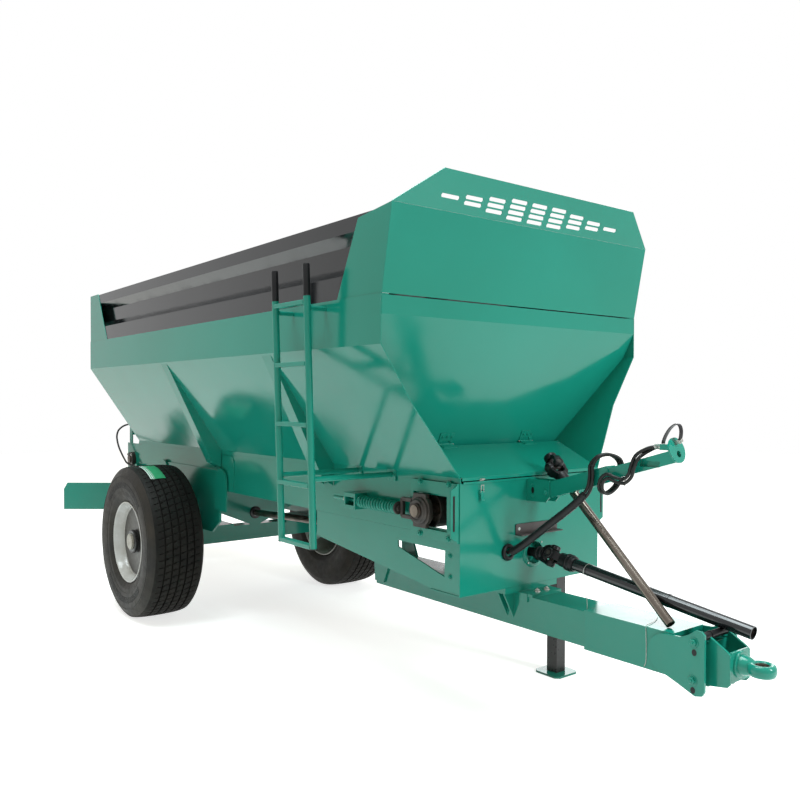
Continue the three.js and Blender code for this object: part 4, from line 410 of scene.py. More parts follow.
def smooth_line(points, steps):
    """A centripetal Catmull-Rom curve through the points, with so many steps between each two."""
    points = [Vector(point) for point in points]
    points = [points[0] * 2 - points[1], *points, points[-1] * 2 - points[-2]]
    line = []
    for before, start, end, after in zip(points, points[1:], points[2:], points[3:]):
        gap0, gap1, gap2 = (
            math.sqrt((b - a).length) for a, b in ((before, start), (start, end), (end, after))
        )
        leave = ((start - before) / gap0 - (end - before) / (gap0 + gap1) + (end - start) / gap1) * gap1
        reach = ((end - start) / gap1 - (after - start) / (gap1 + gap2) + (after - end) / gap2) * gap1
        for k in range(steps):
            t = k / steps
            bend = (2 * start - 2 * end + leave + reach) * t**3
            line.append(bend + (3 * end - 3 * start - 2 * leave - reach) * t**2 + leave * t + start)
    return [*line, points[-2]]


# ---------------------------------------------------------------- hoses
HOSE_DIAMETER = 0.016
HOSE_GAP = 0.018

# Each point of the right-hand front hose, and the step from it to the left-hand one, as in the part's source.
FRONT_HOSE_ROUTE = [
    ((3.110, -0.205, 0.864), (0, HOSE_GAP, 0)),
    ((3.128, -0.205, 0.868), (0, HOSE_GAP, 0)),
    ((3.180, -0.188, 0.912), (0.009, 0.012, -0.012)),
    ((3.291, -0.138, 1.015), (0.012, 0.004, -0.014)),
    ((3.434, -0.092, 1.140), (0.012, 0.004, -0.014)),
    ((3.494, -0.072, 1.205), (0.016, 0.002, -0.008)),
    ((3.507, -0.066, 1.265), (HOSE_GAP, 0, 0)),
    ((3.508, -0.064, 1.320), (HOSE_GAP, -0.002, 0)),
    ((3.532, -0.044, 1.362), (0.018, -0.010, 0)),
    ((3.568, -0.004, 1.374), (0.016, -0.014, 0)),
    ((3.594, 0.030, 1.344), (HOSE_GAP, 0, 0.005)),
    ((3.592, 0.044, 1.280), (HOSE_GAP, 0, -0.003)),
    ((3.574, 0.030, 1.222), (HOSE_GAP, -0.004, -0.004)),
    ((3.556, -0.014, 1.192), (HOSE_GAP, 0, -0.002)),
    ((3.558, -0.060, 1.215), (HOSE_GAP, 0.003, -0.005)),
    ((3.574, -0.072, 1.262), (0.016, 0, -0.011)),
    ((3.610, -0.070, 1.288), (0.004, 0, -0.019)),
    ((3.655, -0.068, 1.276), (-0.003, 0, -0.019)),
    ((3.698, -0.066, 1.272), (0.005, 0, -0.018)),
    ((3.724, -0.066, 1.294), (0.016, 0, -0.010)),
    ((3.738, -0.066, 1.335), (HOSE_GAP, -0.002, -0.006)),
    ((3.760, -0.060, 1.384), (0.015, -0.002, -0.013)),
    ((3.806, -0.038, 1.416), (0.002, 0.018, -0.008)),
    ((3.840, -0.027, 1.424), (0, HOSE_GAP, 0)),
    ((3.866, -0.025, 1.425), (0, HOSE_GAP, 0)),
]
REAR_HOSE_ROUTE = [
    (-1.4015, -0.478, 1.385),
    (-1.440, -0.481, 1.388),
    (-1.500, -0.500, 1.383),
    (-1.550, -0.530, 1.362),
    (-1.582, -0.556, 1.325),
    (-1.575, -0.572, 1.278),
    (-1.540, -0.578, 1.222),
    (-1.490, -0.580, 1.170),
    (-1.430, -0.580, 1.124),
    (-1.360, -0.580, 1.080),
    (-1.290, -0.578, 1.044),
    (-1.225, -0.556, 1.028),
    (-1.185, -0.541, 1.025),
    (-1.152, -0.538, 1.025),
]


def make_hose(name, route):
    line = smooth_line([at(*point) for point in route], 8)
    curve = bpy.data.curves.new(name, "CURVE")
    curve.dimensions = "3D"
    curve.bevel_depth = HOSE_DIAMETER / 2
    curve.bevel_resolution = 5
    curve.use_fill_caps = True
    spline = curve.splines.new("POLY")
    spline.points.add(len(line) - 1)
    for point, place in zip(spline.points, line):
        point.co = (*place, 1)
    spline.use_smooth = True
    curve.materials.append(RUBBER)
    hose = new_object(f"{name}_rubber", curve)
    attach(hose, "root")
    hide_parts(name)


right_line = [point for point, step in FRONT_HOSE_ROUTE]
left_line = [tuple(a + b for a, b in zip(point, step)) for point, step in FRONT_HOSE_ROUTE]
make_hose("front_hose_right", right_line)
make_hose("front_hose_left", left_line)
make_hose("rear_hose", REAR_HOSE_ROUTE)


# ---------------------------------------------------------------- wheels
WHEEL_Y = 0.851
WHEEL_Z = 0.562
CROWN_FALL = 0.22
TREAD_SEGMENTS = 690
TREAD_GROOVES = (0.107, 0.053, 0.0, -0.053, -0.107)
GROOVE_DEPTH = 0.013
SIPE_EVERY = 10
SIPE_DEPTH = 0.010
SIPE_SLANT = 6 / 0.107
SHOULDER = [(0.1725, 0.5485), (0.170, 0.5515), (0.160, 0.5538), (0.150, 0.5555), (0.132, 0.5575)]
SIDEWALL = [
    (0.158, 0.290), (0.172, 0.300), (0.184, 0.320), (0.196, 0.346), (0.1975, 0.350), (0.197, 0.356),
    (0.205, 0.390), (0.2092, 0.430), (0.2092, 0.462), (0.205, 0.492), (0.2035, 0.498), (0.2005, 0.502),
    (0.190, 0.526), (0.180, 0.541), (0.172, 0.549), (0.150, 0.520), (0.140, 0.318),
]
BAND_LOW = 0.402
BAND_HIGH = 0.447
RIM_PROFILE = [
    (0.172, 0.297), (0.178, 0.2985), (0.181, 0.296), (0.181, 0.291), (0.176, 0.287), (0.160, 0.2845),
    (0.135, 0.268), (0.123, 0.2625), (0.114, 0.260), (0.111, 0.256), (0.097, 0.2537), (-0.112, 0.2537),
    (-0.180, 0.288), (-0.180, 0.297), (-0.172, 0.297), (-0.166, 0.2887), (-0.122, 0.2887),
    (-0.102, 0.2627), (0.102, 0.2627), (0.122, 0.2887), (0.166, 0.2887),
]
DISC_PROFILE = [
    (0.109, 0.0795), (0.109, 0.120), (0.107, 0.150), (0.109, 0.185), (0.109, 0.250), (0.106, 0.2534),
    (0.096, 0.2534), (0.095, 0.0795),
]
HUB_PROFILE = [
    (0.096, 0), (0.096, 0.0868), (0.118, 0.0868), (0.121, 0.080), (0.127, 0.080), (0.130, 0.0868),
    (0.143, 0.0868), (0.1495, 0.082), (0.1495, 0.06), (0.147, 0)
]
CAP_PROFILE = [
    (0.146, 0), (0.146, 0.0592), (0.158, 0.0592), (0.1622, 0.056), (0.1632, 0.050), (0.1632, 0.0085)
]
CAP_HOLE = [(0.1627, 0.007), (0.1624, 0)]


def crown(offset):
    return WHEEL_Z - CROWN_FALL * offset**2


def tread_profile():
    points = list(SHOULDER)
    for groove in TREAD_GROOVES:
        for edge, depth in ((0.0062, 0), (0.0048, 1), (-0.0048, 1), (-0.0062, 0)):
            offset = groove + edge
            points.append((offset, crown(offset) - depth * GROOVE_DEPTH))
        if groove > TREAD_GROOVES[-1]:
            middle = groove - 0.027
            points.append((middle, crown(middle)))
    points += [(-offset, radius) for offset, radius in SHOULDER[::-1]]
    return points


def make_wheel(name, side):
    centre = at(0, side * WHEEL_Y, WHEEL_Z)
    axis = (0, side, 0)
    outline = tread_profile()
    ribs = {i for i, (offset, radius) in enumerate(outline) if crown(offset) - radius < 0.001}

    def sipe(i, k):
        if i not in ribs:
            return 0.0
        shift = round(outline[i][0] * SIPE_SLANT)
        return SIPE_DEPTH if (k + shift) % SIPE_EVERY == 0 else 0.0

    inner = [(-0.150, 0.522), (0.150, 0.522)]
    body = f"wheel_{name}"
    tread = Shape().turned(centre, axis, outline + inner, TREAD_SEGMENTS, ring=True, dent=sipe)
    tread.done(f"tread_{name}", TREAD, "tyre", body, replaces=[f"tyre_{name}"])
    for face, label in ((1, "outer"), (-1, "inner")):
        wall = [(face * offset, radius) for offset, radius in SIDEWALL]
        sidewall = Shape().turned(centre, axis, wall, 256, ring=True)
        sidewall.done(f"sidewall_{label}_{name}", SIDEWALL_RUBBER, "tyre", body, replaces=[f"tyre_{name}"])
    band = [(0.2058, BAND_LOW), (0.2078, BAND_LOW + 0.001), (0.2107, 0.432), (0.2107, BAND_HIGH - 0.001),
            (0.2088, BAND_HIGH)]
    bands = Shape()
    for middle in (90, 270):
        sweep = (math.radians(middle - 47), math.radians(middle + 47))
        bands.turned(centre, axis, band, 96, ring=True, sweep=sweep)
    for radius, offset in ((0.3745, 0.2013), (0.487, 0.2066)):
        ridge = [
            (offset - 0.002, radius + 0.0022), (offset + 0.001, radius), (offset - 0.002, radius - 0.0022)
        ]
        bands.turned(centre, axis, ridge, 192, ring=True)
    bands.done(f"sidewall_bands_{name}", BAND_RUBBER, "tyre", body)

    rim = Shape().turned(centre, axis, RIM_PROFILE, 144, ring=True)
    rim.done(f"rim_shell_{name}", WHITE, "white_paint", body, replaces=[f"rim_{name}"])
    disc = Shape().turned(centre, axis, DISC_PROFILE, 120, ring=True)
    disc.done(f"wheel_disc_{name}", DISC_GREY, "white_paint", body, replaces=[f"rim_{name}"])
    hub = Shape().turned(centre, axis, HUB_PROFILE, 96)
    hub.done(f"hub_body_{name}", DARK, "dark_paint", body)
    cap = Shape().turned(centre, axis, CAP_PROFILE + CAP_HOLE, 72)
    cap.done(f"hub_cap_{name}", CREAM, "dark_paint", body)
    valve = Shape().bar(
        centre + Vector((0.2, side * 0.112, 0.118)), centre + Vector((0.212, side * 0.158, 0.126)), 0.004, 10
    )
    valve.done(f"valve_{name}", PLASTIC, "tyre", body)


on_both_sides(make_wheel)


LABEL_LIFT = 0.0008
STRIPE_LIFT = 0.0014
LABEL_START = 4
LABEL_SWEEP = 26


def make_tread_label():
    """A blank green label with white stripes over the tread's outer half, near the top."""
    centre = at(0, RIGHT * WHEEL_Y, WHEEL_Z)
    for name, material, raised, low, high in (
        ("tread_label", LABEL_GREEN, LABEL_LIFT, -0.0080, 0.1040),
        ("tread_label_stripe_wide", LABEL_WHITE, STRIPE_LIFT, 0.0950, 0.1040),
        ("tread_label_stripe_middle", LABEL_WHITE, STRIPE_LIFT, 0.0810, 0.0890),
        ("tread_label_stripe_thin", LABEL_WHITE, STRIPE_LIFT, 0.0710, 0.0745),
    ):
        offsets = [low + (high - low) * k / 6 for k in range(7)]
        shape = Shape()
        rows = []
        for k in range(9):
            angle = math.radians(LABEL_START + LABEL_SWEEP * k / 8)
            row = []
            for offset in offsets:
                radius = crown(offset) + raised
                place = Vector((math.sin(angle) * radius, -offset, math.cos(angle) * radius))
                row.append(shape.mesh.verts.new(centre + place))
            rows.append(row)
        for here, there in zip(rows, rows[1:]):
            for k in range(6):
                shape.mesh.faces.new((here[k], here[k + 1], there[k + 1], there[k]))
        shape.done(name, material, "tyre", "wheel_right")


make_tread_label()


# ---------------------------------------------------------------- take-up of the conveyor
SHAFT_X = 2.840
SHAFT_Z = 1.075
SPRING_Z = 1.069
SPRING_Y = 0.556
SPRING_SPAN = (2.333, 2.664)
SPRING_COIL = 0.027
SPRING_WIRE = 0.0072
SPRING_TURNS = 15
FLANGE_X = 3.0937
HOUSING_FACES = (0.5315, 0.569)
HOUSING_QUARTER = [
    (0.079, 0.0), (0.078, 0.018), (0.074, 0.034), (0.067, 0.048), (0.058, 0.060), (0.050, 0.064),
    (0.048, 0.085)
]
HOUSING_OUTLINE = (
    HOUSING_QUARTER
    + [(-x, z) for x, z in HOUSING_QUARTER[::-1]]
    + [(-x, -z) for x, z in HOUSING_QUARTER[1:]]
    + [(x, -z) for x, z in HOUSING_QUARTER[:0:-1]]
)


def mirrored_box(shape, side, low, high):
    """A box given by its outward sizes in Y, on either side."""
    ys = sorted((side * low[1], side * high[1]))
    return shape.box(at(low[0], ys[0], low[2]), at(high[0], ys[1], high[2]))


def make_takeup(name, side):
    out = Vector((0, side, 0))
    near, far = HOUSING_FACES
    centre = at(SHAFT_X, 0, SHAFT_Z)
    outline = []
    for x, z in HOUSING_OUTLINE:
        outline.append(centre + Vector((x, side * near, z)))
    housing = Shape().prism(outline, out * (far - near - 0.012))
    face = centre + out * (far - 0.014)
    housing.turned(face, out, [
        (0, 0), (0, 0.068), (0.010, 0.066), (0.013, 0.059), (0.015, 0.0575), (0.022, 0.0555), (0.0245, 0.053),
        (0.024, 0.0455), (0.0195, 0.044), (0.0195, 0)
    ], 64)
    for low, high in ((0.034, 0.054), (-0.054, -0.034)):
        mirrored_box(
            housing, side, (2.694, near + 0.004, SHAFT_Z + low), (2.786, far - 0.012, SHAFT_Z + high)
        )
    mirrored_box(housing, side, (2.684, near + 0.004, SHAFT_Z - 0.046), (2.704, far - 0.012, SHAFT_Z + 0.046))
    housing.done(f"takeup_housing_{name}", CAST, "cast_housing", bevel=0.003, replaces=[f"takeup_{name}"])

    collar = Shape().turned(face, out, [
        (0.020, 0.0255), (0.020, 0.037), (0.0285, 0.036), (0.0295, 0.0345), (0.0295, 0.0255)
    ], 48, ring=True)
    collar.bar(
        face + out * 0.012 + Vector((0.030, 0, 0.04)), face + out * 0.031 + Vector((0.034, 0, 0.046)), 0.0035,
        8
    )
    collar.done(f"takeup_collar_{name}", CHAIN, "bare_steel")

    y = side * SPRING_Y
    start, end = SPRING_SPAN
    count = SPRING_TURNS * 24
    coil = []
    for k in range(count + 1):
        share = k / count
        dead = min(1, max(0, (share - 0.06) / 0.88))
        x = start + SPRING_WIRE + (end - start - 2 * SPRING_WIRE) * (0.03 * share + 0.97 * dead)
        angle = 2 * math.pi * SPRING_TURNS * share
        coil.append(at(x, y + math.cos(angle) * SPRING_COIL, SPRING_Z + math.sin(angle) * SPRING_COIL))
    Shape().wire(coil, SPRING_WIRE, 8).done(f"takeup_spring_{name}", GREEN_PART, "green_paint")

    rod = Shape().bar(at(2.075, y, SPRING_Z), at(2.672, y, SPRING_Z), 0.0105, 16)
    rod.disc(at(2.205, y, SPRING_Z), (1, 0, 0), 0.019, 0.014, 6)
    nut = Shape().disc(at(2.186, y, SPRING_Z), (1, 0, 0), 0.019, 0.014, 6)
    nut.done(f"takeup_nut_{name}", CREAM, "bare_steel")
    rod.done(f"takeup_rod_{name}", GREEN_PART, "green_paint")

    end = Shape().bar(at(2.6645, y, SPRING_Z), at(2.6745, y, SPRING_Z), 0.034, 32)
    end.bar(at(2.670, y, SPRING_Z), at(2.6835, y, SPRING_Z), 0.016, 24)
    end.done(f"takeup_spring_seat_{name}", CAST, "cast_housing")

    anchor = Shape()
    low, high = SPRING_Z - 0.044, SPRING_Z + 0.044
    for part_low, part_high in (
        ((2.222, 0.513, low), (2.236, 0.593, high)),
        ((2.317, 0.513, low), (2.331, 0.593, high)),
        ((2.234, 0.513, low), (2.319, 0.590, low + 0.010)),
        ((2.234, 0.513, high - 0.010), (2.319, 0.590, high)),
        ((2.234, 0.513, low + 0.008), (2.319, 0.523, high - 0.008)),
        ((2.234, 0.586, high - 0.024), (2.319, 0.593, high)),
        ((2.234, 0.586, low), (2.319, 0.593, low + 0.020)),
    ):
        mirrored_box(anchor, side, part_low, part_high)
    anchor.done(f"takeup_anchor_{name}", GREEN, "green_paint", bevel=0.0015)
    # Painted shade: a thin black sheet laid just inside the anchor box's green back plate, darkening the
    # box's hollow.
    dark = Shape()
    mirrored_box(dark, side, (2.2365, 0.5235, low + 0.0105), (2.3165, 0.528, high - 0.0105))
    dark.done(f"takeup_anchor_painted_shade_{name}", PLASTIC, "dark_paint")

    # Painted shade: a thin black strip on the guide flange stands for the shaded inside of the guide slot.
    slot_shade = Shape()
    mirrored_box(slot_shade, side, (FLANGE_X - 0.003, 0.5455, 1.001), (FLANGE_X + 0.0002, 0.5575, 1.169))
    slot_shade.done(f"guide_slot_painted_shade_{name}", PLASTIC, "dark_paint")

    bolts = Shape()
    for x, z in ((2.816, 1.219), (3.030, 1.219), (2.816, 0.957), (3.030, 0.957)):
        bolts.bolt(at(x, side * 0.5305, z), out, 0.026)
    for x, z in ((3.024, 0.871), (3.024, 0.769)):
        bolts.bolt(at(x, side * 0.5130, z), out, 0.020)
    bolts.done(f"guide_bolts_{name}", GREEN_PART, "green_paint")


on_both_sides(make_takeup)


# ---------------------------------------------------------------- front box and lid
FRONT_X = 3.099
DRIVE_Y = -0.005
DRIVE_Z = 0.842
FLANGE_BOLT_CIRCLE = 0.0695
HINGE_PIN = (2.72495, 1.39053)
HINGE_MIDDLES = (-0.283, 0.332)
UP_SLOPE = Vector((0.4466, 0, 0.8947))
OFF_SLOPE = Vector((0.8947, 0, -0.4466))
ALONG_Y = Vector((0, 1, 0))


def slab(shape, origin, first, second, third):
    """A block from one corner and its three edges."""
    origin, first, second, third = Vector(origin), Vector(first), Vector(second), Vector(third)
    return shape.prism([origin, origin + first, origin + first + second, origin + second], third)


def make_hinges():
    leaves = Shape()
    knuckles = Shape()
    pins = Shape()
    pin_x, pin_z = HINGE_PIN
    for middle in HINGE_MIDDLES:
        pin = at(pin_x, middle, pin_z)
        foot = pin - OFF_SLOPE * 0.0096 + UP_SLOPE * 0.009
        for low, high in ((-0.050, -0.027), (0.027, 0.050)):
            slab(leaves, foot + ALONG_Y * low, ALONG_Y * (high - low), UP_SLOPE * 0.012, OFF_SLOPE * 0.004)
            knuckles.bar(pin + ALONG_Y * low, pin + ALONG_Y * high, 0.007, 18)
        slab(
            leaves, foot + UP_SLOPE * 0.010 - ALONG_Y * 0.050, ALONG_Y * 0.1, UP_SLOPE * 0.046,
            OFF_SLOPE * 0.004
        )
        for spot in (-0.032, 0, 0.032):
            leaves.bolt(
                foot + UP_SLOPE * 0.034 + OFF_SLOPE * 0.004 + ALONG_Y * spot, OFF_SLOPE, 0.011, washer=False
            )
        pins.bar(pin - ALONG_Y * 0.056, pin - ALONG_Y * 0.0500, 0.0045, 12)
        pins.bar(pin + ALONG_Y * 0.0500, pin + ALONG_Y * 0.056, 0.0045, 12)
    leaves.done("hinge_leaves", GREEN_PART, "green_paint", bevel=0.0006)
    knuckles.done("hinge_knuckles", GREEN_PART, "green_paint")
    pins.done("hinge_pins", ZINC, "bare_steel")


make_hinges()

LATCH_Y = -0.382


def latch(out, aside, z):
    """A point given from the box's front face at the latch."""
    return at(FRONT_X + out, LATCH_Y + aside, z)


def make_latch():
    body = Shape().box(latch(0.0005, -0.014, 1.150), latch(0.003, 0.014, 1.190))
    body.box(latch(0.003, -0.013, 1.172), latch(0.014, -0.0105, 1.190))
    body.box(latch(0.003, 0.0105, 1.172), latch(0.014, 0.013, 1.190))
    lever = ((0.010, 1.186), (0.014, 1.184), (0.015, 1.150), (0.020, 1.138), (0.012, 1.150))
    body.prism([latch(out, -0.010, z) for out, z in lever], (0, 0.020, 0))
    body.done("latch_levers", GREEN_PART, "green_paint", bevel=0.0006)
    loop = Shape()
    for aside in (-0.0085, 0.0085):
        loop.wire([latch(0.0125, aside, 1.176), latch(0.0125, aside, 1.214)], 0.0018, 8)
    loop.bar(latch(0.0125, -0.0105, 1.214), latch(0.0125, 0.0105, 1.214), 0.0018, 8)
    loop.bar(latch(0.0105, -0.0145, 1.181), latch(0.0105, 0.0145, 1.181), 0.0025, 10)
    loop.done("latch_loops", ZINC, "bare_steel")
    keeper = Shape().box(latch(0.0063, -0.013, 1.234), latch(0.008, 0.013, 1.246))
    hook = ((0.007, 1.237), (0.019, 1.241), (0.020, 1.247), (0.016, 1.243), (0.007, 1.240))
    keeper.prism([latch(out, -0.011, z) for out, z in hook], (0, 0.022, 0))
    keeper.done("latch_keepers", ZINC, "bare_steel", body="front_lid", bevel=0.0004)


make_latch()


def make_front_face():
    """The angle bracket, the ring and throat round the shaft, the hose grommet and the lip under the lid."""
    x = FRONT_X + 0.0004
    angle = Shape()
    corners = [(-0.140, 0.945), (0.172, 0.945), (0.172, 0.997), (-0.134, 0.999), (-0.140, 0.993)]
    angle.prism([at(x, y, z) for y, z in corners], (0.006, 0, 0))
    slab(angle, at(x, -0.140, 0.943), (0.046, 0, 0), (0, 0.312, 0), (0, 0, 0.006))
    angle.done("front_bracket", PRIMER, "dark_paint", bevel=0.001)
    plugs = Shape()
    for y in (-0.116, 0.132):
        plugs.turned(
            at(x + 0.006, y, 0.974), (1, 0, 0), [(0, 0), (0, 0.0085), (0.0006, 0.008), (0.0006, 0)], 32
        )
    plugs.done("front_bracket_holes", LABEL_WHITE, "white_paint")
    flange = Shape().turned(
        at(x, DRIVE_Y, DRIVE_Z), (1, 0, 0),
        [(0, 0.058), (0, 0.078), (0.006, 0.076), (0.010, 0.070), (0.010, 0.058)], 72, ring=True
    )
    flange.done("shaft_flange", GREEN_PART, "green_paint")
    ring_bolts = Shape()
    for cosine, sine in circle_steps(4, 45):
        spot = at(x + 0.0075, DRIVE_Y + FLANGE_BOLT_CIRCLE * cosine, DRIVE_Z + FLANGE_BOLT_CIRCLE * sine)
        ring_bolts.bolt(spot, (1, 0, 0), 0.011, washer=False)
    ring_bolts.done("shaft_flange_bolts", ZINC, "bare_steel")

    grommet = Shape().turned(at(FRONT_X + 0.0083, -0.196, 0.864), (1, 0, 0), [
        (-0.0075, 0.031), (-0.0075, 0.041), (-0.002, 0.043), (0.006, 0.041), (0.010, 0.035), (0.010, 0.026),
        (0.006, 0.0215), (0.001, 0.0205), (0.001, 0.031)
    ], 48, ring=True)
    grommet.done("hose_grommet", PLASTIC, "hose")

    throat = Shape().turned(at(3.062, DRIVE_Y, DRIVE_Z), (1, 0, 0), [
        (0, 0), (0, 0.0575), (0.034, 0.0575), (0.034, 0.0560), (0.002, 0.0560), (0.002, 0)
    ], 56)
    throat.done("shaft_throat", GREEN_PART, "green_paint")

    lip = Shape().box(at(FRONT_X + 0.0022, -0.500, 1.2228), at(FRONT_X + 0.0058, 0.500, 1.2336))
    lip.done("lid_lip", GREEN, "green_paint", body="front_lid")


make_front_face()


# ---------------------------------------------------------------- hose arm
def make_arm_parts():
    strap_path = [
        (3.867, 1.4392), (3.868, 1.448), (3.882, 1.480), (3.902, 1.508), (3.922, 1.524), (3.938, 1.529),
        (3.951, 1.522), (3.958, 1.503), (3.958, 1.480), (3.954, 1.459)
    ]
    line = smooth_line([Vector((x, 0, z)) for x, z in strap_path], 5)
    strap = Shape()
    for start, end in zip(line, line[1:]):
        along = (end - start).normalized()
        across_way = Vector((along.z, 0, -along.x))
        place = at(start.x, -0.0275, start.z)
        slab(strap, place, end - start + along * 0.0004, across_way * 0.004, (0, 0.023, 0))
    strap.done("arm_strap", PLASTIC, "dark_paint")
    clip = Shape()
    clip.bar(at(3.920, -0.013, 1.443), at(3.960, -0.013, 1.458), 0.0085, 20)
    clip.disc(at(3.9445, -0.013, 1.4515), (0.94, 0, 0.34), 0.0125, 0.004, 24)
    clip.done("arm_clip", ZINC, "bare_steel")

    bolt = Shape().bolt(at(3.227, -0.0563, 1.168), (0, -1, 0), 0.026)
    bolt.bolt(at(3.140, -0.0563, 1.196), (0, -1, 0), 0.014).bolt(at(3.140, -0.0563, 1.143), (0, -1, 0), 0.014)
    bolt.bolt(at(3.227, 0.0243, 1.168), (0, 1, 0), 0.026)
    bolt.done("arm_bolts", GREEN_PART, "green_paint")
    # Painted shade: a flat black oval on the arm bracket stands for the shaded inside of its slot.
    outline = [at(3.140 + 0.010 * cosine, -0.0560, 1.170 + 0.016 * sine) for cosine, sine in circle_steps(24)]
    slot = Shape().prism(outline, (0, -0.0005, 0))
    slot.done("arm_bracket_slot_shade", PLASTIC, "dark_paint")

    fittings = Shape()
    for y in (-0.025, -0.007):
        fittings.turned(at(3.834, y, 1.425), (1, 0, 0), [
            (0, 0.0084), (0, 0.0112), (0.020, 0.0115), (0.022, 0.0126), (0.0335, 0.0126), (0.0335, 0.0084)
        ], 20, ring=True)
    fittings.done("coupling_ferrules", ZINC, "bare_steel")


make_arm_parts()


def make_hose_sleeves():
    """The ribbed sleeve round both hoses where they leave the front box, and the ties further up."""
    middle = []
    for point, step in FRONT_HOSE_ROUTE[1:6]:
        middle.append(at(*(a + b / 2 for a, b in zip(point, step))))
    line = smooth_line(middle, 14)
    sleeve = Shape()
    sleeve.wire(line[:-4], 0.0192, 20)
    sleeve.done("hose_sleeve", PLASTIC, "hose")
    ribs = Shape()
    for index in range(2, len(line) - 6, 3):
        along = (line[index + 1] - line[index - 1]).normalized()
        ribs.turned(
            line[index] - along * 0.0022, along,
            [(0, 0.0185), (0.0006, 0.0204), (0.0038, 0.0204), (0.0044, 0.0185)], 20, ring=True
        )
    ribs.done("hose_sleeve_ribs", RUBBER, "hose")
    ties = Shape()
    for index in (7, 11, 18):
        start, step = FRONT_HOSE_ROUTE[index]
        after, after_step = FRONT_HOSE_ROUTE[index + 1]
        here = at(*(a + b / 2 for a, b in zip(start, step)))
        there = at(*(a + b / 2 for a, b in zip(after, after_step)))
        along = (there - here).normalized()
        wide = Vector(step).normalized()
        thin = along.cross(wide).normalized()
        loop = [here + wide * cosine * 0.0190 + thin * sine * 0.0098 for cosine, sine in circle_steps(32)]
        for shift in (-0.0016, 0, 0.0016):
            ties.wire([spot + along * shift for spot in loop], 0.0011, 6, closed=True)
    ties.done("hose_ties", PLASTIC, "hose")


make_hose_sleeves()


# ---------------------------------------------------------------- power shaft halves
YOKE_HALF = 0.049
YOKE_REACH = 0.074
YOKE_DEPTH = 0.040


def yoke(shape, root, along, out):
    """A fork from root along the shaft, its two arms apart along out, with a boss at each arm's end."""
    along, out = Vector(along).normalized(), Vector(out).normalized()
    wide = along.cross(out).normalized()
    half = [
        (0, 0.026), (0.018, 0.043), (0.036, YOKE_HALF), (YOKE_REACH, YOKE_HALF + 0.001), (YOKE_REACH, 0.036),
        (0.042, 0.034), (0.028, 0.026), (0.022, 0.012)
    ]
    outline = half + [(reach, -away) for reach, away in half[::-1]]
    corners = [root + along * reach + out * away - wide * (YOKE_DEPTH / 2) for reach, away in outline]
    shape.prism(corners, wide * YOKE_DEPTH)
    pivot = root + along * (YOKE_REACH - 0.006)
    for way in (-1, 1):
        shape.turned(pivot, out * way, [
            (0.030, 0.0125), (0.030, 0.026), (0.047, 0.026), (0.053, 0.022), (0.053, 0.0155), (0.050, 0.0145),
            (0.050, 0.0125)
        ], 28, ring=True)
    return pivot


def universal_cross(shape, pivot, first, second):
    for way in (Vector(first).normalized(), Vector(second).normalized()):
        shape.bar(pivot - way * 0.0505, pivot + way * 0.0505, 0.0125, 20)


def make_power_shaft_front():
    start = at(3.0635, DRIVE_Y, DRIVE_Z)
    straight = Vector((1, 0, 0))
    up = Vector((0, 0.5, 0.866))
    far = at(3.359, -0.001, 0.822)
    core = Shape()
    core.turned(start, straight, [
        (0, 0), (0, 0.024), (0.056, 0.024), (0.057, 0.031), (0.068, 0.032), (0.070, 0.036), (0.084, 0.037),
        (0.086, 0.034), (0.104, 0.034), (0.108, 0.030), (0.116, 0.030), (0.116, 0)
    ], 40)
    root = start + straight * 0.100
    pivot = yoke(core, root, straight, up)
    along = (far - pivot).normalized()
    cross_way = along.cross(up).normalized()
    yoke(core, pivot + along * (YOKE_REACH - 0.006), -along, cross_way)
    core.turned(pivot + along * 0.054, along, [
        (0, 0), (0, 0.034), (0.034, 0.036), (0.060, 0.035), (0.060, 0)
    ], 36)
    core.done("shaft_yokes", PLASTIC, "black_paint", bevel=0.0014, replaces=["power_shaft_front_half"])
    cross = Shape()
    universal_cross(cross, pivot, up, cross_way)
    cross.done("shaft_cross", CAST, "black_paint")

    bell = Shape()
    bell.turned(pivot + along * 0.094, along, [
        (0, 0.030), (0, 0.0405), (0.004, 0.0425), (0.010, 0.0425), (0.013, 0.039), (0.017, 0.039),
        (0.020, 0.042), (0.030, 0.042), (0.033, 0.039), (0.044, 0.0375), (0.047, 0.0335), (0.047, 0.028)
    ], 48, ring=True)
    bell.done("shaft_guard_collar", PLASTIC, "black_paint")
    end = at(4.262, 0.036, 0.684)
    tube = Shape().pipe(far - along * 0.010, end, 0.029, 0.0035, 48)
    way = (end - far).normalized()
    tube.hoop(far + way * 0.52, way, 0.0288, 0.0306, 0.012, 40)
    tube.done("shaft_guard_tube", BLACK, "black_paint", sharp=40)
    lining = Shape().pipe(end - way * 0.30, end - way * 0.012, 0.0225, 0.004, 32)
    lining.done("shaft_inner_tube", TUBE_STEEL, "bare_steel")


make_power_shaft_front()


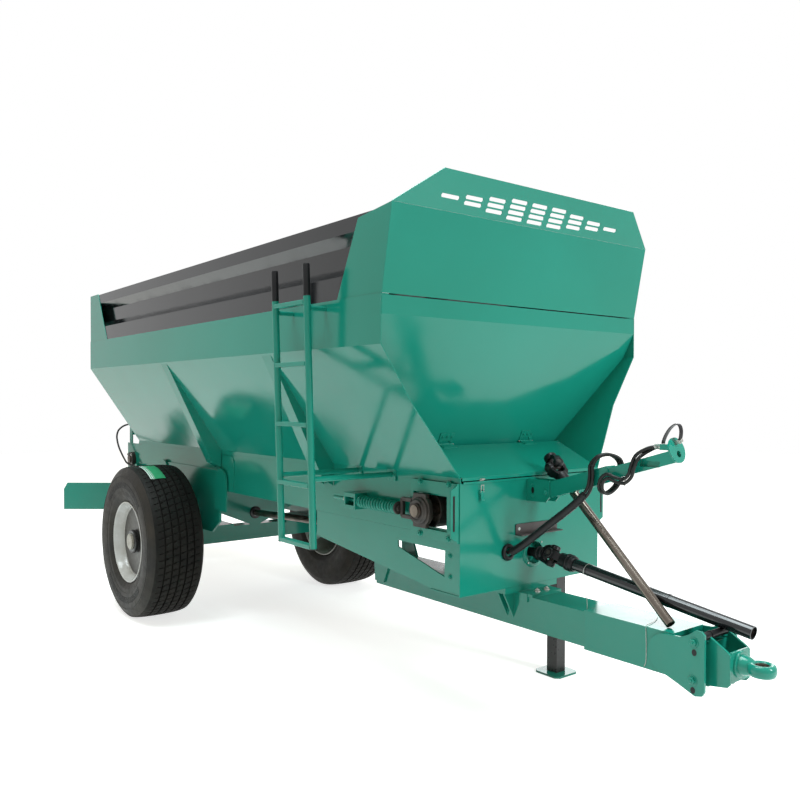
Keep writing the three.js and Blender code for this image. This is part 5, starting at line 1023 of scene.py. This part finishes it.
def make_power_shaft_rear():
    foot = at(3.940, -0.056, 0.664)
    head = at(3.225, 0.068, 1.238)
    way = (head - foot).normalized()
    tube = Shape().pipe(foot, head, 0.022, 0.004, 40)
    tube.done("loose_shaft_tube", TUBE_STEEL, "bare_steel", sharp=40, replaces=["power_shaft_rear_half"])
    ends = Shape()
    ends.turned(head - way * 0.052, way, [
        (0, 0.0215), (0, 0.028), (0.006, 0.031), (0.060, 0.031), (0.066, 0.026), (0.066, 0)
    ], 36)
    out, wide = across(way)
    pivot = yoke(ends, head, way, out)
    lean = (way * 0.9 + out * 0.2 + Vector((-0.1, 0, 0.1))).normalized()
    second = (wide - lean * wide.dot(lean)).normalized()
    yoke(ends, pivot + lean * (YOKE_REACH - 0.006), -lean, second)
    ends.turned(pivot + lean * 0.050, lean, [
        (0, 0), (0, 0.030), (0.012, 0.034), (0.030, 0.034), (0.033, 0.030), (0.033, 0.018), (0.016, 0.0175),
        (0.016, 0)
    ], 36)
    ends.done("loose_shaft_joint", PLASTIC, "black_paint", bevel=0.0012)
    cross = Shape()
    universal_cross(cross, pivot, out, second)
    cross.done("loose_shaft_cross", CAST, "black_paint")


make_power_shaft_rear()


# ---------------------------------------------------------------- nose and hitch
EYE = (4.318, 0.0, 0.556)
NOSE_FACE_Y = 0.1263
NOSE_BOLTS = ((4.094, 0.636), (4.089, 0.479))


def make_hitch():
    centre = at(*EYE)
    forward = Vector((1, 0, 0))
    body = Shape()
    ring = [
        (0.025 * max(-1, min(1, 1.12 * sine)), 0.0405 - 0.0155 * cosine) for cosine, sine in circle_steps(14)
    ]
    body.turned(centre, (0, 0, 1), ring, 72, ring=True)
    body.done("hitch_eye", GREEN, "green_paint", sharp=60, replaces=["hitch"])
    neck = Shape()
    neck.turned(at(4.222, 0, 0.556), forward, [
        (0, 0), (0, 0.055), (0.010, 0.055), (0.013, 0.052), (0.014, 0.042), (0.034, 0.040), (0.050, 0.034),
        (0.060, 0.028), (0.066, 0.022), (0.066, 0)
    ], 56)
    neck.done("hitch_neck", GREEN, "green_paint")
    plate = Shape().box(at(4.1103, -0.078, 0.452), at(4.1323, 0.078, 0.632))
    for side in SIDES.values():
        outline = [
            at(x, side * 0.066, z)
            for x, z in (
                (4.130, 0.456), (4.214, 0.470), (4.226, 0.484), (4.226, 0.604), (4.212, 0.616), (4.130, 0.664)
            )
        ]
        plate.prism(outline, (0, side * 0.012, 0))
    plate.box(at(4.214, -0.067, 0.488), at(4.226, 0.067, 0.612))
    plate.done("hitch_plate", GREEN, "green_paint", bevel=0.002)
    wear = Shape().turned(centre, (0, 0, 1), [
        (-0.0195, 0.0268), (-0.0125, 0.0250), (0.0125, 0.0250), (0.0195, 0.0268), (0.0195, 0.0262),
        (0.0125, 0.0245), (-0.0125, 0.0245), (-0.0195, 0.0262)
    ], 56, ring=True)
    wear.done("hitch_eye_wear", STEEL, "bare_steel")

    bolts = Shape()
    slots = Shape()
    for side in SIDES.values():
        for x, z in NOSE_BOLTS:
            face = at(x, side * NOSE_FACE_Y, z)
            bolts.turned(face, (0, side, 0), [(0, 0), (0, 0.022), (0.0025, 0.0215), (0.0025, 0)], 32)
            bolts.bolt(face + Vector((0, side * 0.0022, 0)), (0, side, 0), 0.030, washer=False)
            # Painted shade: a flat black oval under each bolt stands for the shaded inside of the nose
            # plate's slot.
            outline = [
                at(x + 0.002 + 0.011 * cosine, side * NOSE_FACE_Y, z - 0.042 + 0.014 * sine)
                for cosine, sine in circle_steps(20)
            ]
            slots.prism(outline, (0, side * 0.0006, 0))
    bolts.done("nose_bolts", GREEN_PART, "green_paint")
    slots.done("nose_slot_shades", PLASTIC, "dark_paint")
    bar = Shape().bar(at(4.122, -0.112, 0.660), at(4.122, 0.112, 0.660), 0.0165, 24)
    bar.disc(at(4.122, -0.060, 0.660), (0, 1, 0), 0.019, 0.012, 24)
    bar.done("nose_cross_bar", PLASTIC, "dark_paint")
    tongue = Shape().bolt(
        at(3.150, -0.030, 0.6515), (0, 0, 1), 0.026
    ).bolt(at(3.150, 0.040, 0.6515), (0, 0, 1), 0.026)
    tongue.done("tongue_bolts", ZINC, "bare_steel")


make_hitch()


# ---------------------------------------------------------------- ladder
LADDER_X = 2.412
LADDER_HALF = 0.155
RAIL = 0.018
LADDER_FOOT = (-1.006, 0.888)
LADDER_HEAD = (-1.048, 2.290)
RUNG_TOP = 2.105
RUNGS = 5
STRUT_Z = 1.234
STANDOFF_Z = 2.075


def ladder_y(z):
    share = (z - LADDER_FOOT[1]) / (LADDER_HEAD[1] - LADDER_FOOT[1])
    return LADDER_FOOT[0] + (LADDER_HEAD[0] - LADDER_FOOT[0]) * share


def make_ladder():
    frame_shape = Shape()
    feet = Shape()
    for end in (-1, 1):
        x = LADDER_X + end * LADDER_HALF
        foot, head = at(x, LADDER_FOOT[0], LADDER_FOOT[1]), at(x, LADDER_HEAD[0], LADDER_HEAD[1])
        frame_shape.bar(foot, at(x, ladder_y(2.135), 2.135), RAIL, 28)
        frame_shape.bar(at(x, ladder_y(STRUT_Z) + 0.012, STRUT_Z), at(x, -0.5185, STRUT_Z), 0.014, 20)
        frame_shape.bar(
            at(x, ladder_y(STANDOFF_Z) + 0.012, STANDOFF_Z), at(x, -0.9385, STANDOFF_Z), 0.012, 20
        )
        way = (head - foot).normalized()
        feet.turned(foot - way * 0.0005, way, [
            (0, 0), (0, RAIL + 0.0006), (0.006, RAIL + 0.0012), (0.006, 0)
        ], 28)
        low = at(x, ladder_y(2.133), 2.133)
        feet.turned(low, way, [(0, 0), (0, RAIL), (0.151, RAIL), (0.157, RAIL - 0.003), (0.157, 0)], 32)
    frame_shape.done("ladder_rails", GREEN, "green_paint", replaces=["ladder"])
    feet.done("ladder_grips", PLASTIC, "dark_paint")
    rungs = Shape()
    pitch = (RUNG_TOP - LADDER_FOOT[1] - 0.012) / (RUNGS - 1)
    for k in range(RUNGS):
        z = RUNG_TOP - k * pitch
        y = ladder_y(z)
        rungs.box(
            at(LADDER_X - LADDER_HALF + 0.008, y - 0.019, z - 0.011),
            at(LADDER_X + LADDER_HALF - 0.008, y + 0.019, z + 0.011)
        )
    rungs.done("ladder_rungs", GREEN, "green_paint", bevel=0.003)
    plates = Shape()
    for end in (-1, 1):
        x = LADDER_X + end * LADDER_HALF
        plates.box(at(x - 0.034, -0.5225, STRUT_Z - 0.034), at(x + 0.034, -0.5185, STRUT_Z + 0.034))
        for dx in (-0.024, 0.024):
            plates.bolt(at(x + dx, -0.5225, STRUT_Z), (0, -1, 0), 0.014)
    plates.done("ladder_foot_plates", GREEN_PART, "green_paint", bevel=0.001)


make_ladder()


# ---------------------------------------------------------------- wires
def make_wires():
    wires = Shape()
    wires.wire(smooth_line([
        at(3.448, -0.005, 0.779), at(3.462, -0.030, 0.742), at(3.478, -0.046, 0.700),
        at(3.490, -0.056, 0.655), at(3.493, -0.060, 0.6395)
    ], 8), 0.0014, 6)
    centre = at(3.448, -0.003, 0.8075)
    ring = [
        centre + Vector((0.006 * sine, 0.031 * cosine, 0.031 * sine)) for cosine, sine in circle_steps(28)
    ]
    wires.wire(ring, 0.0014, 6, closed=True)
    loop = [
        (3.800, 0.056, 0.6495), (3.826, 0.004, 0.6495), (3.846, -0.060, 0.6495), (3.854, -0.108, 0.6475),
        (3.858, -0.1162, 0.630), (3.860, -0.1162, 0.560), (3.858, -0.1162, 0.490), (3.850, -0.1162, 0.470)
    ]
    wires.wire(smooth_line([at(*place) for place in loop], 6), 0.0014, 6)
    wires.done("holding_wires", ZINC, "bare_steel")


make_wires()


# ---------------------------------------------------------------- rear end
DISC_PLACE = (-1.830, 0.400, 0.708)
GEARBOX_Z = 0.610
REAR_SHAFT = (-1.306, 1.075)
CYLINDER_X = -1.212
STRAP_HEIGHTS = (1.729, 2.079)
PORT_HEIGHTS = (1.700, 2.108)
CONVEYOR_TOP = 1.167
LINK_PITCH = 0.0625
LINK_ROWS = (0.395, 0.425)
LINK_START = -1.24
LINK_RUN = 4.0


def make_disc_details(name, side):
    x, y, z = DISC_PLACE
    centre = at(x, side * y, z)
    body = f"disc_{name}"
    feet = Shape()
    bolts = Shape()
    for cosine, sine in circle_steps(4, 45):
        along = Vector((cosine, sine, 0))
        aside = Vector((-sine, cosine, 0))
        slab(feet, centre + along * 0.070 + aside * 0.003, along * 0.262, aside * 0.030, (0, 0, 0.005))
        for reach in (0.105, 0.205, 0.305):
            bolts.bolt(centre + along * reach + aside * 0.020 + Vector((0, 0, 0.005)), (0, 0, 1), 0.018)
        bolts.bolt(centre + along * 0.026 + Vector((0, 0, 0.038)), (0, 0, 1), 0.010, washer=False)
    feet.done(f"vane_feet_{name}", CHAIN, "bare_steel", body, bevel=0.0008)
    bolts.turned(
        centre + Vector((0, 0, 0.038)), (0, 0, 1),
        [(0, 0), (0, 0.015), (0.009, 0.015), (0.012, 0.011), (0.012, 0)], 6
    )
    bolts.done(f"vane_bolts_{name}", ZINC, "bare_steel", body)
    corners = Shape()
    for dx in (-0.054, 0.054):
        for dy in (-0.054, 0.054):
            corners.bolt(at(x + dx, side * y + dy, GEARBOX_Z + 0.052), (0, 0, 1), 0.014, washer=False)
    corners.done(f"gearbox_end_bolts_{name}", ZINC, "bare_steel")


def make_gearbox_details():
    x = DISC_PLACE[0]
    face = at(x - 0.080, 0, GEARBOX_Z)
    cover = Shape().turned(face, (-1, 0, 0), [
        (0, 0), (0, 0.056), (0.006, 0.056), (0.009, 0.050), (0.009, 0.030), (0.018, 0.026), (0.018, 0)
    ], 48)
    for middle in (-0.235, 0.235):
        for shift in (-0.085, 0.085):
            start = at(x, middle + shift - 0.006, GEARBOX_Z)
            cover.hoop(start, (0, 1, 0), 0.039, 0.052, 0.012, 36)
    cover.done("gearbox_covers", DARK, "dark_paint")
    bolts = Shape()
    for cosine, sine in circle_steps(6, 30):
        spot = face + Vector((-0.0072, 0.043 * cosine, 0.043 * sine))
        bolts.bolt(spot, (-1, 0, 0), 0.011, washer=False)
    bolts.disc(at(x - 0.02, 0.02, GEARBOX_Z + 0.060), (0, 0, 1), 0.011, 0.008, 6)
    bolts.done("gearbox_bolts", ZINC, "bare_steel")
    carrier = Shape().turned(at(0.0605, -0.002, 0.7005), (1, 0, 0.047), [
        (0, 0.0256), (0, 0.050), (0.012, 0.048), (0.016, 0.038), (0.016, 0.0256)], 44, ring=True)
    carrier.done("drive_shaft_bearing", DARK, "dark_paint")


def make_rear_drive_details():
    x, z = REAR_SHAFT
    bolts = Shape()
    for dx in (-0.060, 0.060):
        for dz in (-0.060, 0.060):
            bolts.bolt(at(x + dx, 0.600, z + dz), (0, 1, 0), 0.020)
            bolts.bolt(at(x + 0.72 * dx, -0.546, z + 0.72 * dz), (0, -1, 0), 0.018)
    for cosine, sine in circle_steps(4, 45):
        bolts.bolt(at(x + 0.037 * cosine, 0.700, z + 0.037 * sine), (0, 1, 0), 0.013, washer=False)
    for dx in (-0.020, 0.020):
        bolts.bar(at(x + dx, 0.655, z + 0.046), at(x + dx, 0.655, z + 0.072), 0.0105, 16)
        bolts.disc(at(x + dx, 0.655, z + 0.062), (0, 0, 1), 0.0135, 0.010, 6)
    bolts.done("rear_drive_bolts", ZINC, "bare_steel")
    fins = Shape()
    for k in range(4):
        start = at(x, 0.612 + 0.022 * k, z)
        fins.hoop(start, (0, 1, 0), 0.050, 0.055, 0.008, 36)
    fins.done("motor_ribs", DARK, "dark_paint")


def make_gate_details():
    rod = Shape().bar(at(CYLINDER_X, 0, 1.3065), at(CYLINDER_X, 0, 1.728), 0.0134, 24)
    rod.done("gate_rod_chrome", ZINC, "bare_steel", "gate")
    pin = Shape().bar(at(CYLINDER_X + 0.001, -0.031, 1.281), at(CYLINDER_X + 0.001, 0.031, 1.281), 0.008, 16)
    for y in (-0.36, -0.12, 0.12, 0.36):
        pin.bolt(at(-1.1592, y, 1.232), (-1, 0, 0), 0.014, washer=False)
    pin.done("gate_pin", ZINC, "bare_steel", "gate")
    straps = Shape()
    for z in STRAP_HEIGHTS:
        loop = []
        for k in range(25):
            turn = math.radians(90 + 180 * k / 24)
            loop.append(at(CYLINDER_X + 0.0375 * math.cos(turn), 0.0375 * math.sin(turn), z))
        loop = [at(-1.187, 0.0375, z), *loop, at(-1.187, -0.0375, z)]
        straps.wire(loop, 0.0035, 8)
    for z in PORT_HEIGHTS:
        straps.bar(at(CYLINDER_X - 0.032, 0, z), at(CYLINDER_X - 0.050, 0, z), 0.0095, 16)
        straps.disc(at(CYLINDER_X - 0.050, 0, z), (-1, 0, 0), 0.0125, 0.009, 6)
    straps.done("cylinder_straps", ZINC, "bare_steel")
    gland = Shape().turned(at(CYLINDER_X, 0, 1.6795), (0, 0, 1), [
        (0, 0.0245), (0, 0.0335), (0.004, 0.0355), (0.022, 0.0355), (0.024, 0.0345), (0.024, 0.0245)
    ], 36, ring=True)
    gland.done("cylinder_gland", DARK, "dark_paint")
    bolts = Shape()
    for z in STRAP_HEIGHTS:
        for y in (-0.440, 0.440):
            bolts.bolt(at(-1.186, y, z), (-1, 0, 0), 0.018)
    bolts.done("carrier_bolts", ZINC, "bare_steel")


def make_chain_links():
    links = Shape()
    for k in range(int(LINK_RUN / LINK_PITCH)):
        x = LINK_START + LINK_PITCH * k
        row = LINK_ROWS if k % 2 else [y + 0.005 for y in LINK_ROWS]
        for y in row:
            for side in SIDES.values():
                low = (x - 0.004, y, CONVEYOR_TOP - 0.001)
                high = (x + LINK_PITCH + 0.004, y + 0.004, CONVEYOR_TOP + 0.014)
                mirrored_box(links, side, low, high)
        for side in SIDES.values():
            ends = sorted((side * (LINK_ROWS[0] - 0.003), side * (LINK_ROWS[1] + 0.012)))
            links.bar(at(x, ends[0], CONVEYOR_TOP + 0.006), at(x, ends[1], CONVEYOR_TOP + 0.006), 0.0055, 8)
    links.done("chain_links", CHAIN, "cast_housing")


on_both_sides(make_disc_details)
make_gearbox_details()
make_rear_drive_details()
make_gate_details()
make_chain_links()


# ---------------------------------------------------------------- parking leg
LEG_X = 2.752
LEG_Y = 0.577
LEG_PIVOT_Z = 0.657
LEG_TUBE_HALF = 0.038
LEG_TUBE_WALL = 0.006
LEG_TUBE_SPAN = (0.0115, 0.701)
LEG_FOOT_HALF = 0.095
LEG_FOOT_CORNER = 0.024
LEG_FOOT_SHEET = 0.012


def make_parking_leg():
    """The leg's square tube is a four-sided pipe, turned so that its flats face front and side."""
    low, high = (at(LEG_X, LEG_Y, z) for z in LEG_TUBE_SPAN)
    tube = Shape().pipe(low, high, LEG_TUBE_HALF * math.sqrt(2), LEG_TUBE_WALL * math.sqrt(2), 4)
    quarter = Matrix.Rotation(math.radians(45), 3, "Z")
    bmesh.ops.rotate(tube.mesh, cent=at(LEG_X, LEG_Y, 0), matrix=quarter, verts=tube.mesh.verts)
    tube.done("leg_tube", DARK, "dark_paint", "parking_leg", bevel=0.0015, replaces=["parking_leg"])
    reach, inset = LEG_FOOT_HALF, LEG_FOOT_HALF - LEG_FOOT_CORNER
    half_outline = [(-inset, -reach), (inset, -reach), (reach, -inset), (reach, inset)]
    outline = half_outline + [(-x, -y) for x, y in half_outline]
    foot = Shape().prism([at(LEG_X + x, LEG_Y + y, 0) for x, y in outline], (0, 0, LEG_FOOT_SHEET))
    foot.done("leg_foot", GREEN, "green_paint", "parking_leg", bevel=0.002, replaces=["parking_leg"])
    pin = Shape().bar(at(LEG_X, 0.520, LEG_PIVOT_Z), at(LEG_X, 0.642, LEG_PIVOT_Z), 0.014, 24)
    pin.disc(at(LEG_X, 0.6335, LEG_PIVOT_Z), (0, 1, 0), 0.020, 0.004, 24)
    pin.done("leg_pin", ZINC, "bare_steel", "parking_leg", replaces=["parking_leg"])


make_parking_leg()


# ---------------------------------------------------------------- floor and light
FLOOR_SIZE = 40.0
FLOOR_GLOW = 0.72
WORLD_FILL = 0.36
FILL_COLOUR = (1.0, 0.97, 0.78)


def make_floor():
    shape = bpy.data.meshes.new("floor")
    half = FLOOR_SIZE / 2
    shape.from_pydata([
        (-half, -half, 0), (half, -half, 0), (half, half, 0), (-half, half, 0)
    ], [], [(0, 1, 2, 3)])
    material = bpy.data.materials.new("floor_white")
    material.use_nodes = True
    tree = material.node_tree
    shader = tree.nodes["Principled BSDF"]
    shader.inputs["Base Color"].default_value = (0.86, 0.86, 0.86, 1)
    shader.inputs["Roughness"].default_value = 0.9
    shader.inputs["Specular IOR Level"].default_value = 0.0
    shader.inputs["Emission Color"].default_value = (1, 1, 1, 1)
    tree.links.new(times(tree, seen_rays(tree), FLOOR_GLOW), shader.inputs["Emission Strength"])
    shape.materials.append(material)
    new_object("floor", shape)


def make_world():
    world = bpy.data.worlds.new("studio")
    world.use_nodes = True
    bpy.context.scene.world = world
    tree = world.node_tree
    seen = seen_rays(tree)
    background = tree.nodes["Background"]
    tree.links.new(blend_colour(tree, seen, FILL_COLOUR, (1, 1, 1)), background.inputs["Color"])
    tree.links.new(spread(tree, seen, WORLD_FILL, 1.0, 0, 1), background.inputs["Strength"])


def make_lamp(name, place, target, size, power, colour):
    data = bpy.data.lights.new(name, "AREA")
    data.shape = "RECTANGLE"
    data.size, data.size_y = size
    data.energy = power
    data.color = colour
    lamp = new_object(name, data)
    lamp.location = at(*place)
    way = at(*target) - lamp.location
    lamp.rotation_euler = way.to_track_quat("-Z", "Y").to_euler()


make_floor()
make_world()
make_lamp("lamp_top", (2.0, -1.0, 7.5), (1.0, 0, 1.0), (6.0, 4.0), 900, (0.86, 0.97, 1.0))
make_lamp("lamp_front", (9.0, 1.5, 3.6), (3.0, 0, 1.2), (1.2, 3.4), 260, (0.9, 0.98, 1.0))
make_lamp("lamp_sky", (-9.5, 18.0, 8.0), (3.4, 0, 0.7), (12.0, 5.0), 650, (0.95, 0.98, 1.0))
bpy.context.scene.view_settings.view_transform = "Standard"
